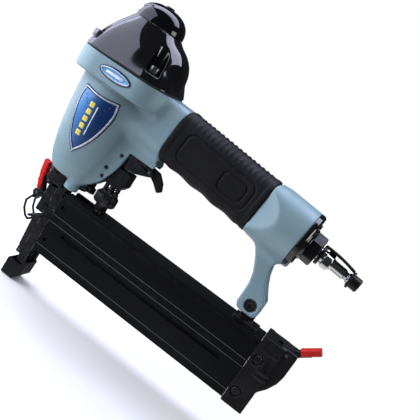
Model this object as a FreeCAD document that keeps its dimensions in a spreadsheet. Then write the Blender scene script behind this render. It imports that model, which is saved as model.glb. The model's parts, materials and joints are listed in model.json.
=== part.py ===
"""Pneumatic brad nailer, built as a parametric document and written out piece by piece.

Frame: millimetres, +Z up along the firing axis, +X towards the handle and tail, -Y the left side.
The origin is the centre of the contact tip's lower face, on the firing axis.
"""
import FreeCAD, Part

import math
import os

import Sketcher

Vector = FreeCAD.Vector
Rotation = FreeCAD.Rotation
Placement = FreeCAD.Placement

# Driving dimensions: alias, value in millimetres.
DIMENSIONS = {
    # Barrel casting, cap and deflector
    "casting_floor": 95, "bumper_floor": 100, "waist_top": 168, "collar_base": 171, "cap_seam": 187.9,
    "barrel_top_radius": 29, "barrel_foot_radius": 16, "collar_front": 33.6, "collar_rear": 40,
    "collar_half_width": 31.5, "collar_corner": 20, "chamber_radius": 19, "valve_pocket_radius": 22.1,
    "sleeve_top": 184, "sleeve_inner": 15, "sleeve_outer": 17, "cap_shoulder": 200, "cap_top": 223,
    "crown_radius": 19.2, "lobe_radius": 23.9, "lobe_centre": 16, "cap_bolt_front": 26,
    "cap_bolt_rear": 23, "cap_bolt_side": 22, "deflector_top": 239, "deflector_centre": 1,
    # Handle, in its own frame: u along the axis, n across it
    "handle_axis": 171.2, "grip_start": 57, "grip_end": 137, "grip_half_height": 21.5,
    "grip_half_width": 17, "core_half_height": 18.4, "core_half_width": 13.9, "air_bore": 12,
    "end_radius": 22.6, "casting_end": 172.4, "plug_radius": 3.95, "plug_tip": 218.3,
    # Web, trigger and safety linkage
    "web_half": 8, "slot_half": 3.2, "trigger_pivot_x": 30.4, "trigger_pivot_z": 131.5,
    "lever_pivot_x": 54.2, "lever_pivot_z": 132.6, "trigger_half": 6, "trigger_wall": 1.4,
    "valve_x": 47, "contact_x": 34.6, "wheel_radius": 9, "wheel_base": 91.6, "wheel_top": 100.2,
    # Nose
    "nose_base": 14.6, "nose_rear": 6.2, "nose_half": 5.2, "nose_screw_x": -8, "nose_screw_side": 6,
    "stub_z": 91.2, "web_screw_x": 20.5, "latch_pivot_x": -14.5, "latch_pivot_z": 68.5,
    "door_pivot_x": -3, "door_pivot_z": 22.4,
    # Magazine
    "mag_front": 9.2, "mag_rear": 189.5, "mag_half": 11, "mag_wall": 2.2, "mag_top": 83.5,
    "mag_split": 61.1, "mag_base": 32.4, "nail_half": 0.8, "tail_half": 13, "tail_plate_rear": 207.2,
    "pusher_front": 26, "tail_screw_x": 195.2, "tail_screw_low": 42.8, "tail_screw_high": 71.3,
    "release_x": 209.5, "release_z": 84.5, "bolt_x": 169.4, "bolt_z": 97.6,
}

HANDLE_DROP = 5.0      # degrees that the handle falls away towards the tail
GAP = 0.05             # clearance that keeps two fixed pieces from sharing a face

doc = FreeCAD.newDocument("nailer")
sheet = doc.addObject("Spreadsheet::Sheet", "Dimensions")
parts = []


class Length:
    """A size that carries both its value and the sheet formula that it comes from."""

    def __init__(self, value, formula):
        self.value = value
        self.formula = formula

    def __add__(self, other):
        return combine(self, other, "+")

    def __radd__(self, other):
        return combine(other, self, "+")

    def __sub__(self, other):
        return combine(self, other, "-")

    def __rsub__(self, other):
        return combine(other, self, "-")

    def __mul__(self, other):
        return combine(self, other, "*")

    def __rmul__(self, other):
        return combine(other, self, "*")

    def __neg__(self):
        return combine(0, self, "-")


def length(item):
    return item if isinstance(item, Length) else Length(float(item), repr(float(item)))


def combine(left, right, sign):
    left, right = length(left), length(right)
    results = {"+": left.value + right.value, "-": left.value - right.value, "*": left.value * right.value}
    return Length(results[sign], "({} {} {})".format(left.formula, sign, right.formula))


class Sizes:
    """Reads a driving dimension by its alias, as a Length."""

    def __getattr__(self, alias):
        return Length(float(DIMENSIONS[alias]), "Dimensions." + alias)


d = Sizes()


def fill_sheet():
    for row, (alias, value) in enumerate(DIMENSIONS.items(), start=1):
        sheet.set("A{}".format(row), alias)
        sheet.set("B{}".format(row), str(value))
        sheet.setAlias("B{}".format(row), alias)
    doc.recompute()


def bind(item, prop, size):
    item.setExpression(prop, length(size).formula)


def keep(item, label):
    """Marks an object as a finished sub-part; its label names its file."""
    item.Label = label
    parts.append(item)
    return item


# ---- Primitives bound to the sheet ----

TURNS = {"x": Rotation(Vector(0, 1, 0), 90), "y": Rotation(Vector(1, 0, 0), -90), "z": Rotation()}


def block(x, y, z):
    """A box between (low, high) pairs on each axis."""
    box = doc.addObject("Part::Box", "block")
    for prop, place, (low, high) in (("Length", "x", x), ("Width", "y", y), ("Height", "z", z)):
        bind(box, prop, length(high) - low)
        bind(box, "Placement.Base." + place, low)
    return box


def rod(axis, centre, radius, low, high):
    """A cylinder along an axis; centre gives the two other coordinates in X, Y, Z order."""
    cylinder = doc.addObject("Part::Cylinder", "rod")
    cylinder.Placement = Placement(Vector(), TURNS[axis])
    bind(cylinder, "Radius", radius)
    bind(cylinder, "Height", length(high) - low)
    others = [letter for letter in "xyz" if letter != axis]
    bind(cylinder, "Placement.Base." + axis, low)
    for letter, size in zip(others, centre):
        bind(cylinder, "Placement.Base." + letter, size)
    return cylinder


def cone(centre, low_radius, high_radius, low, high):
    item = doc.addObject("Part::Cone", "cone")
    bind(item, "Radius1", low_radius)
    bind(item, "Radius2", high_radius)
    bind(item, "Height", length(high) - low)
    for letter, size in zip("xyz", (*centre, low)):
        bind(item, "Placement.Base." + letter, size)
    return item


def ball(centre, radius):
    item = doc.addObject("Part::Sphere", "ball")
    bind(item, "Radius", radius)
    for letter, size in zip("xyz", centre):
        bind(item, "Placement.Base." + letter, size)
    return item


def seal(centre, radius, thickness):
    """An O-ring lying level."""
    ring = doc.addObject("Part::Torus", "seal")
    bind(ring, "Radius1", radius)
    bind(ring, "Radius2", thickness)
    for letter, size in zip("xyz", centre):
        bind(ring, "Placement.Base." + letter, size)
    return ring


def fuse(*items):
    joined = doc.addObject("Part::MultiFuse", "joined")
    joined.Shapes = list(items)
    joined.Refine = True
    return joined


def cut(base, *tools):
    result = doc.addObject("Part::Cut", "cut")
    result.Base = base
    result.Tool = tools[0] if len(tools) == 1 else fuse(*tools)
    return result


def common(first, second):
    result = doc.addObject("Part::Common", "shared")
    result.Base = first
    result.Tool = second
    return result


def group(*items):
    """Separate solids that share one node, such as a set of screws."""
    result = doc.addObject("Part::Compound", "group")
    result.Links = list(items)
    return result


# ---- Sketched pieces ----

def sketch_on(body, role, offset, points):
    """A closed outline on an origin plane; every corner is held by two bound dimensions."""
    plane = [feature for feature in body.Origin.OriginFeatures if feature.Role == role][0]
    sketch = body.newObject("Sketcher::SketchObject", "outline")
    sketch.AttachmentSupport = [(plane, "")]
    sketch.MapMode = "FlatFace"
    bind(sketch, "AttachmentOffset.Base.z", offset)
    corners = [(length(point[0]), length(point[1])) for point in points]
    count = len(corners)
    for index, (u, v) in enumerate(corners):
        after = corners[(index + 1) % count]
        start, end = Vector(u.value, v.value, 0), Vector(after[0].value, after[1].value, 0)
        sketch.addGeometry(Part.LineSegment(start, end), False)
    for index in range(count):
        sketch.addConstraint(Sketcher.Constraint("Coincident", index, 2, (index + 1) % count, 1))
    for index, corner in enumerate(corners):
        for kind, size in zip(("DistanceX", "DistanceY"), corner):
            number = sketch.addConstraint(Sketcher.Constraint(kind, index, 1, size.value))
            bind(sketch, "Constraints[{}]".format(number), size)
    return sketch


def plate(role, low, high, points):
    """An outline padded between two levels along the plane's normal.

    A third number on a point rounds that corner. On XZ_Plane the levels are Y values.
    """
    body = doc.addObject("PartDesign::Body", "plate")
    offset = -length(high) if role == "XZ_Plane" else low
    pad = body.newObject("PartDesign::Pad", "pad")
    pad.Profile = sketch_on(body, role, offset, points)
    bind(pad, "Length", length(high) - low)
    doc.recompute()
    radii = sorted({point[2] for point in points if len(point) > 2})
    for radius in radii:
        corners = [point for point in points if len(point) > 2 and point[2] == radius]
        round_corners(body, role, corners, radius)
    return body


def round_corners(body, role, corners, radius):
    """Rounds the padded edges that stand on the given corners."""
    across, up, normal = {"XZ_Plane": "xzy", "XY_Plane": "xyz", "YZ_Plane": "yzx"}[role]
    places = [(length(u).value, length(v).value) for u, v, _ in corners]
    names = []
    for number, edge in enumerate(body.Shape.Edges, start=1):
        middle = edge.valueAt((edge.FirstParameter + edge.LastParameter) / 2)
        along = abs(getattr(edge.tangentAt(edge.FirstParameter), normal))
        u, v = getattr(middle, across), getattr(middle, up)
        nearest = min(math.hypot(u - place[0], v - place[1]) for place in places)
        if along > 0.999 and nearest < 0.01:
            names.append("Edge{}".format(number))
    base = body.Tip
    fillet = body.newObject("PartDesign::Fillet", "rounded")
    fillet.Base = (base, names)
    fillet.Radius = radius
    doc.recompute()


def turned(points, centre=(0, 0)):
    """An outline of (radius, height) points turned about a vertical axis."""
    body = doc.addObject("PartDesign::Body", "turned")
    turn = body.newObject("PartDesign::Revolution", "turn")
    turn.Profile = sketch_on(body, "XZ_Plane", 0, points)
    turn.ReferenceAxis = (turn.Profile[0], ["V_Axis"])
    turn.Angle = 360
    for letter, size in zip("xy", centre):
        bind(body, "Placement.Base." + letter, size)
    return body


def on_handle(item):
    """Moves an item built with X along the handle into its place on the tool."""
    item.Placement = Placement(Vector(0, 0, d.handle_axis.value), Rotation(Vector(0, 1, 0), HANDLE_DROP))
    bind(item, "Placement.Base.z", d.handle_axis)
    return item


def turned_on_handle(points):
    """An outline of (radius, distance along the handle) points, turned about the handle's axis."""
    body = turned(points)
    body.Placement = Placement(Vector(0, 0, d.handle_axis.value), Rotation(Vector(0, 1, 0), 90 + HANDLE_DROP))
    bind(body, "Placement.Base.z", d.handle_axis)
    return body


def rounded_bar(start, end, half_height, half_width, radius):
    """A bar along the handle with rounded long edges."""
    points = [(-half_width, -half_height, radius), (half_width, -half_height, radius),
              (half_width, half_height, radius), (-half_width, half_height, radius)]
    return plate("YZ_Plane", start, end, points)


def spring(place, radius, wire, height, turns):
    """A coil of round wire with its axis along the placement's Z."""
    helix = Part.makeHelix(height / turns, height, radius)
    section = Part.Wire(Part.makeCircle(wire, Vector(radius, 0, 0), Vector(0, 1, 0)))
    coil = doc.addObject("Part::Feature", "spring")
    coil.Shape = Part.Wire(helix).makePipeShell([section], True, True)
    coil.Placement = place
    return coil


# ---- Barrel casting ----

# The barrel's outer line: radius, height.
BARREL = [(16, 95), (21.5, 106), (24.2, 119), (27.2, 142), (28.6, 158)]
# Cross pins that hold the safety guide in the web: x, z.
GUIDE_PINS = [(24.8, 117.9), (25.2, 110.7)]


def barrel_outline(extra=0):
    """The casting's outer line from foot to waist, optionally grown outwards."""
    return [(length(radius) + extra, height) for radius, height in BARREL] + \
           [(d.barrel_top_radius + extra, d.waist_top)]


def collar_points():
    front, rear, half, corner = -d.collar_front, d.collar_rear, d.collar_half_width, d.collar_corner.value
    return [(front, -half, corner), (rear, -half, corner), (rear, half, corner), (front, half, corner)]


def cap_bolt_places():
    return [(x, side * d.cap_bolt_side) for x in (-d.cap_bolt_front, d.cap_bolt_rear) for side in (-1, 1)]


def nose_screw_places():
    return [(d.nose_screw_x, side * d.nose_screw_side) for side in (-1, 1)]


def web():
    points = [(10, 96.5), (18.1, 97.4), (25.4, 105.2), (29.7, 113.4), (33.4, 125), (35.2, 136.4),
              (56, 136.4), (57.4, 140.6), (54.6, 143.8), (55, 152), (10, 152)]
    return plate("XZ_Plane", -d.web_half, d.web_half, points)


def rear_arm():
    points = [(148.6, 142), (149.4, 134), (154.2, 125.4), (157.4, 118.6), (159.2, 111.2), (159.2, 92.6, 3),
              (164.6, 90.2), (174.2, 90.2), (177.3, 93.4, 2), (177.3, 105.4), (173, 110.8), (168.4, 120.4),
              (166.3, 128.3), (166.6, 142)]
    return plate("XZ_Plane", -7.5, 7.5, points)


def make_gun_body():
    floor = [(0, d.casting_floor)]
    barrel = turned(floor + barrel_outline() + [(d.barrel_top_radius, 186), (0, 186)])
    collar = plate("XY_Plane", d.collar_base, d.cap_seam - 0.8, collar_points())
    skirt = cone((0, 0), d.barrel_top_radius, d.collar_half_width, d.waist_top, d.collar_base)
    root = on_handle(rounded_bar(20, d.grip_start - 0.2, d.core_half_height + 0.8, 15.6, 13))
    core = on_handle(rounded_bar(20, 140, d.core_half_height, d.core_half_width, 11))
    end = turned_on_handle([(0, 137.2), (19, 137.2), (d.end_radius, 143), (d.end_radius, d.casting_end),
                            (0, d.casting_end)])
    lugs = [rod("z", (9, side * 8), 5.6, 87.6, 104) for side in (-1, 1)]
    solid = fuse(barrel, collar, skirt, root, core, end, web(), rear_arm(), *lugs)
    hollows = [
        rod("z", (0, 0), d.chamber_radius, 110, 188),
        rod("z", (0, 0), d.sleeve_outer + GAP, d.bumper_floor, 111),
        rod("z", (0, 0), d.valve_pocket_radius, 181, 188),
        rod("z", (0, 0), 3.2, 94, 101),
        block((23, 40), (-d.slot_half, d.slot_half), (105, 138)),
        block((35.6, 60), (-6.4, 6.4), (135, 139.5)),
        block((158, 180), (-3, 3), (90, 107.5)),
        rod("z", (d.valve_x, 0), 6.05, 139, 166),
        rod("y", (d.trigger_pivot_x, d.trigger_pivot_z), 1.3, -9, 9),
        rod("y", (d.bolt_x, d.bolt_z), 2.55, -9, 9),
        rod("y", (d.bolt_x, d.bolt_z), 4.6, -9, -5),
    ]
    hollows += [rod("y", place, 1.3, -9, 9) for place in GUIDE_PINS]
    hollows += [rod("z", place, 2.55, 174, 189) for place in cap_bolt_places()]
    hollows += [rod("z", place, 2.05, 94, 99.5) for place in nose_screw_places()]
    hollows.append(rod("z", (d.web_screw_x, 0), 1.95, 90, 104.3))
    hollows.append(block((-60, 60), (-60, 60), (d.cap_seam - 0.8, 200)))
    bores = [rod("x", (0, 0), d.air_bore, 18, 174)]
    bores += [rod("x", end_screw_place(k), 1.55, 165, 174) for k in range(4)]
    keep(cut(solid, *hollows, on_handle(fuse(*bores))), "gun_body")


# ---- Air cylinder ----

def make_cylinder():
    ledge, ledge_top = 150, 156
    groove_floor = d.chamber_radius - 1.6
    keep(turned([(d.sleeve_inner, 101), (d.sleeve_outer, 101), (d.sleeve_outer, ledge),
                 (d.chamber_radius - GAP, ledge), (d.chamber_radius - GAP, 152), (groove_floor, 152),
                 (groove_floor, 154), (d.chamber_radius - GAP, 154), (d.chamber_radius - GAP, ledge_top),
                 (d.sleeve_outer, ledge_top), (d.sleeve_outer, d.sleeve_top),
                 (d.sleeve_inner, d.sleeve_top)]),
         "cylinder_sleeve")
    keep(seal((0, 0, 153), d.chamber_radius - 0.8, 0.75), "sleeve_oring")
    keep(turned([(0, 176), (14.95, 176), (14.95, 178.4), (13.3, 178.4), (13.3, 180.6), (14.95, 180.6),
                 (14.95, 183), (0, 183)]), "piston_head")
    keep(seal((0, 0, 179.5), 14.15, 0.8), "piston_oring")
    blade = block((-0.75, 0.75), (-0.95, 0.95), (79, 176))
    shank = rod("z", (0, 0), 2.6, 168, 175.95)
    keep(cut(fuse(shank, blade), block((-5, 5), (-5, 5), (175.95, 190))), "driver_blade")
    keep(turned([(3.4, d.bumper_floor + 0.1), (14, d.bumper_floor + 0.1), (14.8, 103), (13, 107),
                 (3.4, 107)]), "piston_bumper")


def make_head_valve():
    keep(turned([(6.5, 184.2), (18.4, 184.2), (18.4, 189), (22, 189), (22, 191), (20.4, 191), (20.4, 193),
                 (22, 193), (22, 197), (6.5, 197)]), "head_valve")
    keep(seal((0, 0, 192), 21.2, 0.78), "head_valve_oring")
    keep(spring(Placement(Vector(0, 0, 198), Rotation()), 14, 0.75, 8, 3), "head_valve_spring")


def make_cap():
    flange = plate("XY_Plane", d.cap_seam, d.cap_shoulder, collar_points())
    dome = cone((0, 0), 32.5, d.crown_radius, d.cap_shoulder - 0.5, d.cap_top)
    lobe = ball((d.lobe_centre, 0, 198), d.lobe_radius)
    trim = block((-60, 60), (-60, 60), (150, d.cap_seam))
    bore = rod("z", (0, 0), d.valve_pocket_radius, 180, 207)
    exhaust = rod("z", (0, 0), 9, 200, 230)
    pockets = [rod("z", place, 5, 194, 230) for place in cap_bolt_places()]
    holes = [rod("z", place, 2.6, 180, 200) for place in cap_bolt_places()]
    shell = cut(fuse(flange, dome, lobe), trim, bore, exhaust, *pockets, *holes)
    bar = block((-10, 10), (-3, 3), (214, d.cap_top - 0.5))
    keep(cut(fuse(shell, bar), rod("z", (d.deflector_centre, 0), 1.6, 210, 230)), "cylinder_cap")
    gasket = plate("XY_Plane", d.cap_seam - 0.75, d.cap_seam - GAP, collar_points())
    gaps = [rod("z", place, 2.6, 180, 190) for place in cap_bolt_places()]
    keep(cut(gasket, rod("z", (0, 0), 23, 180, 190), *gaps), "cap_gasket")
    keep(group(*[cap_screw(x, y) for x, y in cap_bolt_places()]), "cap_bolts")


def cap_screw(x, y):
    head = rod("z", (x, y), 4.25, 194.1, 199.5)
    shank = rod("z", (x, y), 2.5, 175, 194.1)
    socket = plate("XY_Plane", 196.6, 200, polygon(x, y, 2.3, 6))
    return cut(fuse(head, shank), socket)


def polygon(x, y, radius, count, start=0):
    """Corners of a regular polygon."""
    angles = [start + 2 * math.pi * k / count for k in range(count)]
    return [(length(x) + radius * math.cos(a), length(y) + radius * math.sin(a)) for a in angles]


def make_deflector():
    base = d.cap_top + 0.2
    outer = [(0, base), (d.crown_radius, base), (d.crown_radius, 226.5), (17.6, 231.5), (14, 235.6),
             (8.5, 238.2), (0, d.deflector_top)]
    inner = [(0, 220), (16.8, 220), (16.8, 226), (15, 231), (11.5, 234.2), (6, 236.2), (0, 236.4)]
    place = (d.deflector_centre, 0)
    shell = cut(turned(outer, place), turned(inner, place))
    post = rod("z", place, 3, base, 237)
    mouth = block((-30, -8), (-11, 11), (225.5, 232))
    screw_hole = rod("z", place, 1.6, 215, 240)
    sink = rod("z", place, 3.6, 237.2, 242)
    keep(cut(fuse(cut(shell, mouth), post), screw_hole, sink), "exhaust_deflector")
    head = rod("z", place, 3.2, 237.25, 239.6)
    keep(fuse(head, rod("z", place, 1.5, 215, 237.25)), "deflector_screw")


# ---- Handle, air inlet ----

def end_screw_place(index):
    angle = math.radians(45 + 90 * index)
    return (17.4 * math.cos(angle), 17.4 * math.sin(angle))


def make_grip():
    sleeve = rounded_bar(d.grip_start, d.grip_end, d.grip_half_height, d.grip_half_width, 14)
    gap = rounded_bar(50, 140, d.core_half_height + GAP, d.core_half_width + GAP, 11)
    keep(on_handle(cut(sleeve, gap)), "rubber_grip")


def make_end_cap():
    seat = d.casting_end
    dish = turned([(6.65, seat + GAP), (d.end_radius - 0.1, seat + GAP), (d.end_radius - 0.1, seat + 3.2),
                   (20.6, seat + 4.4), (12.2, seat + 6.8), (6.65, seat + 6.8)])
    dish.Placement = Placement(Vector(), TURNS["x"])
    holes = [rod("x", end_screw_place(k), 1.6, 160, 190) for k in range(4)]
    sinks = [rod("x", end_screw_place(k), 3, seat + 3.4, 190) for k in range(4)]
    keep(on_handle(cut(dish, *holes, *sinks)), "end_cap")
    screws = [fuse(rod("x", end_screw_place(k), 1.5, seat - 6, seat + 3.5),
                   rod("x", end_screw_place(k), 2.8, seat + 3.45, seat + 5.6)) for k in range(4)]
    keep(on_handle(group(*screws)), "end_cap_screws")


def make_inlet():
    seat = d.casting_end + 6.85
    nut = plate("YZ_Plane", seat, seat + 8.1, polygon(0, 0, 12.2, 6, math.pi / 6))
    thread = rod("x", (0, 0), 6.6, 168, seat)
    keep(on_handle(cut(fuse(nut, thread), rod("x", (0, 0), 4.15, 160, 200))), "inlet_adaptor")
    collar = plate("YZ_Plane", 192.2, 198.2, polygon(0, 0, 7, 6, math.pi / 6))
    on_handle(collar)
    stem = turned_on_handle([(2, 176), (4.1, 176), (4.1, seat + 8.2), (5.4, seat + 8.2), (5.4, 193),
                             (4.6, 193), (4.6, 199), (d.plug_radius, 200), (d.plug_radius, 209.6),
                             (3, 210.4), (3, 212.6), (d.plug_radius, 213.2),
                             (d.plug_radius, d.plug_tip - 1), (3.2, d.plug_tip), (2, d.plug_tip)])
    keep(cut(fuse(collar, stem), on_handle(rod("x", (0, 0), 2, 170, 230))), "air_plug")
    keep(turned_on_handle([(4.35, 214.1), (5, 214.1), (5, 214.8), (6.4, 214.8), (6.4, 216.2), (5, 216.2),
                           (5, 222), (4.4, 222.5), (0, 222.5), (0, 218.9), (4.35, 218.9)]), "dust_cap")
    ring = cut(rod("x", (0, 0), 7.4, 188, 190.6), rod("x", (0, 0), 5.6, 187, 192))
    band = block((188.2, 213.9), (-2, 2), (7.2, 8.4))
    keep(on_handle(fuse(ring, band)), "dust_cap_strap")


# ---- Trigger and its valve ----

def make_trigger():
    half, inside = d.trigger_half, d.trigger_half - d.trigger_wall
    shell = plate("XZ_Plane", -half, half, [(36, 135.8), (54.4, 135.8, 2), (57.8, 133), (56.6, 129.8, 2),
                                            (44, 124.8), (36, 124.8)])
    tongue = fuse(rod("y", (d.trigger_pivot_x, d.trigger_pivot_z), 2.9, -3, 3),
                  block((d.trigger_pivot_x, 37), (-3, 3), (128.7, 134.4)))
    pocket = plate("XZ_Plane", -inside, inside, [(38, 138), (60, 138), (60, 132.6), (56, 131), (44, 126.3),
                                                 (43, 123), (38, 123)])
    holes = [rod("y", (d.trigger_pivot_x, d.trigger_pivot_z), 1.3, -9, 9),
             rod("y", (d.lever_pivot_x, d.lever_pivot_z), 1.05, -9, 9),
             block((51, 60), (-2.7, 2.7), (126, 137))]
    keep(cut(fuse(shell, tongue), pocket, *holes), "trigger")
    keep(rod("y", (d.trigger_pivot_x, d.trigger_pivot_z), 1.25, -8, 8), "trigger_pin")
    keep(rod("y", (d.lever_pivot_x, d.lever_pivot_z), 1, -6.2, 6.2), "lever_pin")


def make_levers():
    top = 133.2
    pivot = (d.lever_pivot_x, d.lever_pivot_z)
    tongue = block((38.6, 50.5), (-4.3, 4.3), (top - 1.4, top))
    ears = [fuse(block((49, d.lever_pivot_x), (side - 0.8, side + 0.8), (top - 2.6, top)),
                 rod("y", pivot, 2, side - 0.8, side + 0.8)) for side in (-3.5, 3.5)]
    bore = rod("y", pivot, 1.05, -9, 9)
    keep(cut(fuse(tongue, *ears), bore), "contact_lever")
    spur = plate("XZ_Plane", -2.4, 2.4, [(52, 130.4), (52, 134.6), (55, 136.4, 1), (60.2, 135.6, 3),
                                         (65.9, 130.2, 3), (68.4, 124.6, 1.5), (66, 122.4, 1.5),
                                         (60, 127.4, 3), (56, 129.6)])
    keep(cut(spur, bore), "lock_lever")


def make_trigger_valve():
    centre = (d.valve_x, 0)
    outline = [(1.85, 139.6), (6, 139.6), (6, 142), (4.9, 142), (4.9, 143.6), (6, 143.6), (6, 151),
               (4.9, 151), (4.9, 152.6), (6, 152.6), (6, 157), (3.6, 157), (3.6, 146), (1.85, 146)]
    keep(turned(outline, centre), "trigger_valve_body")
    keep(group(seal((*centre, 142.8), 5.4, 0.45), seal((*centre, 151.8), 5.4, 0.45)), "trigger_valve_orings")
    keep(turned([(0, 134.4), (1.2, 134.4), (1.8, 135.2), (1.8, 146.4), (3.2, 146.4), (3.2, 148), (0, 148)],
                centre), "trigger_valve_stem")
    place = Placement(Vector(d.valve_x.value, 0, 148.4), Rotation())
    keep(spring(place, 2.5, 0.35, 8, 5), "trigger_valve_spring")


# ---- Safety linkage ----

def make_safety_guide():
    body = plate("XZ_Plane", -6.4, 6.4, [(28.4, 108), (30.9, 113.2), (34, 122.6), (44, 122.6, 1), (44, 112),
                                         (41.2, 108)])
    tongue = block((23.3, 36), (-3.05, 3.05), (108, 122.6))
    x = d.contact_x
    leg_slots = [block((x - 6, x - 4), (-3.2, 3.2), (107, 119)),
                 block((x + 4, x + 6), (-3.2, 3.2), (107, 124))]
    spring_seat = rod("z", (x, 0), 3.9, 107, 117.2)
    pin_holes = [rod("y", place, 1.3, -9, 9) for place in GUIDE_PINS]
    keep(cut(fuse(body, tongue), spring_seat, *leg_slots, *pin_holes), "safety_guide")
    keep(group(*[rod("y", place, 1.25, -8, 8) for place in GUIDE_PINS]), "guide_pins")


def make_contact():
    x = d.contact_x
    base = block((x - 5.7, x + 5.7), (-4.6, 4.6), (100.5, 102))
    legs = [block((x - 5.7, x - 4.3), (-3, 3), (101, 112)), block((x + 4.3, x + 5.7), (-3, 3), (101, 124))]
    keep(fuse(base, *legs, rod("z", (x, 0), 2.2, 101, 110)), "contact_yoke")
    keep(spring(Placement(Vector(x.value, 0, 102.6), Rotation()), 3.05, 0.45, 14, 5), "contact_spring")
    rim = turned([(2.55, 86), (5, 86), (5, 90.6), (8.2, d.wheel_base), (d.wheel_radius, 92.6),
                  (d.wheel_radius, 98.6), (7.6, d.wheel_top), (2.55, d.wheel_top)], (x, 0))
    flutes = [rod("z", (x + d.wheel_radius * math.cos(a), d.wheel_radius * math.sin(a)), 0.5, 90, 101)
              for a in [2 * math.pi * k / 24 for k in range(24)]]
    keep(cut(rim, *flutes), "depth_wheel")
    stud = rod("z", (x, 0), 2.5, 80, 100.15)
    bridge = plate("XY_Plane", 78.8, 81.2, [(6.7, 3.4), (6.7, 7), (x + 3, 7), (x + 3, -2.6), (x - 3, -2.6),
                                            (x - 3, 3.4)])
    strip = block((6.7, 8.9), (3.4, 7), (9, 80))
    carrier = block((6.4, 8.9), (-5, 7), (6.4, 9.4))
    keep(fuse(stud, bridge, strip, carrier), "contact_arm")
    shoe = plate("XZ_Plane", -7.6, 7.6, [(-6.2, 0, 0.8), (4.5, 0), (9.6, 6), (10.2, 18.2), (7.2, 18.2),
                                         (6.2, 13.6), (-6.2, 13.6, 0.6)])
    hollows = [block((-5.2, 7.2), (-5.8, 5.8), (6.3, 20)), block((5.8, 9), (-5.1, 7.1), (6.3, 20)),
               block((-2.4, 2.4), (-2.4, 2.4), (-1, 10))]
    keep(cut(shoe, *hollows), "no_mar_tip")


# ---- Nose ----

def make_nosepiece():
    guide = block((-0.9, d.nose_rear), (-d.nose_half, d.nose_half), (d.nose_base, 84))
    upper = block((-0.9, 6.4), (-6.4, 3.2), (66.8, 84))
    flange = plate("XY_Plane", 84, 94.95, [(-12.6, -9, 2), (-12.6, 9, 2), (2.6, 9), (2.6, -9)])
    cheek = block((6, 17), (-8.6, -4.3), (66, 78))
    ears = [block((-5, 0), (side - 0.5, side + 0.5), (19.9, 25.2)) for side in (-4.7, 4.7)]
    channel = block((-1, 0.95), (-1.05, 1.05), (10, 96))
    slot = block((0, 8), (-d.nail_half - 0.1, d.nail_half + 0.1), (20, 78.2))
    pivot = rod("y", (d.door_pivot_x, d.door_pivot_z), 1.05, -9, 9)
    threads = [rod("z", place, 2.05, 80, 96) for place in nose_screw_places()]
    threads.append(rod("x", (0, d.stub_z), 1.55, -14, -4.9))
    keep(cut(fuse(guide, upper, flange, cheek, *ears), channel, slot, pivot, *threads), "nosepiece")
    screws = [fuse(rod("z", place, 2, 83, 99), rod("z", place, 3.4, 81, 83.95))
              for place in nose_screw_places()]
    stub = fuse(rod("x", (0, d.stub_z), 1.5, -12.65, -5), rod("x", (0, d.stub_z), 2.3, -16.2, -12.65))
    web_screw = (d.web_screw_x, 0)
    under_web = fuse(rod("z", web_screw, 1.9, 94, 104), rod("z", web_screw, 3.7, 92.2, 96.3))
    keep(group(*screws, stub, under_web), "nose_screws")


def make_latch():
    x, z = d.latch_pivot_x, d.latch_pivot_z
    ribs = [block((-8.9, -8), (-5, 5), (59 + 4 * k, 60.6 + 4 * k)) for k in range(2)]
    column = block((-8.4, -1), (-6, 6), (57.8, 80.8))
    ears = [fuse(block((x, -8), (side - 0.7, side + 0.7), (z - 1, z + 3.4)),
                 rod("y", (x, z), 3.4, side - 0.7, side + 0.7)) for side in (-4.3, 4.3)]
    keep(cut(fuse(column, *ears, *ribs), rod("y", (x, z), 1.3, -9, 9)), "latch_base")
    keep(rod("y", (x, z), 1.25, -5.2, 5.2), "latch_pin")
    crank = (x - 1.5, z - 4.8)
    handle = plate("XZ_Plane", -3.4, 3.4, [(x - 3.4, z - 5.2, 1), (x + 0.4, z - 6, 1), (x + 2.9, z - 1),
                                           (x + 2.9, z + 3), (x - 1.6, z + 12), (x - 3.6, z + 24, 1.5),
                                           (x - 8.8, z + 25, 2), (x - 6.4, z + 10), (x - 3, z + 3)])
    keep(cut(handle, rod("y", (x, z), 1.3, -9, 9), rod("y", crank, 0.95, -9, 9)), "latch_lever")
    side, wire = 6.2, 0.85
    path = [(crank[0].value, crank[1].value), (-18.2, 59.2), (-16.4, 53), (-12.6, 48.4), (-9.6, 47.2)]
    corners = [Vector(u, -side, v) for u, v in path] + [Vector(u, side, v) for u, v in reversed(path)]
    links = [Part.makeCylinder(wire, (end - start).Length, start, end - start)
             for start, end in zip(corners, corners[1:] + corners[:1])]
    knees = [Part.makeSphere(wire, corner) for corner in corners]
    loop = doc.addObject("Part::Feature", "bail")
    loop.Shape = links[0].multiFuse(links[1:] + knees)
    keep(loop, "latch_bail")


def make_nose_door():
    x, z = d.door_pivot_x, d.door_pivot_z
    door = plate("XZ_Plane", -d.nose_half, d.nose_half,
                 [(-2, 19.9), (-5, 19.9), (-6.9, 47), (-6.9, 50.2), (-11.6, 48.7), (-12, 50.2), (-6, 54),
                  (-1, 55.5), (-1, d.door_pivot_z)])
    notches = [block((-9, 0), (side - 1, side + 1), (12, 25.8)) for side in (-5, 5)]
    keep(cut(door, rod("y", (x, z), 1.05, -9, 9), *notches), "nose_door")
    keep(rod("y", (x, z), 1, -5.2, 5.2), "door_pin")


# ---- Magazine ----

def groove(z, low, high):
    """A shallow line along both outer faces."""
    return [block((low, high), (side * d.mag_half - 0.45, side * d.mag_half + 0.45), (z - 0.45, z + 0.45))
            for side in (-1, 1)]


def side_holes(x, z):
    return [rod("y", (x, z), 1.7, min(side * 8.7, side * 12), max(side * 8.7, side * 12)) for side in (-1, 1)]


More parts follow.
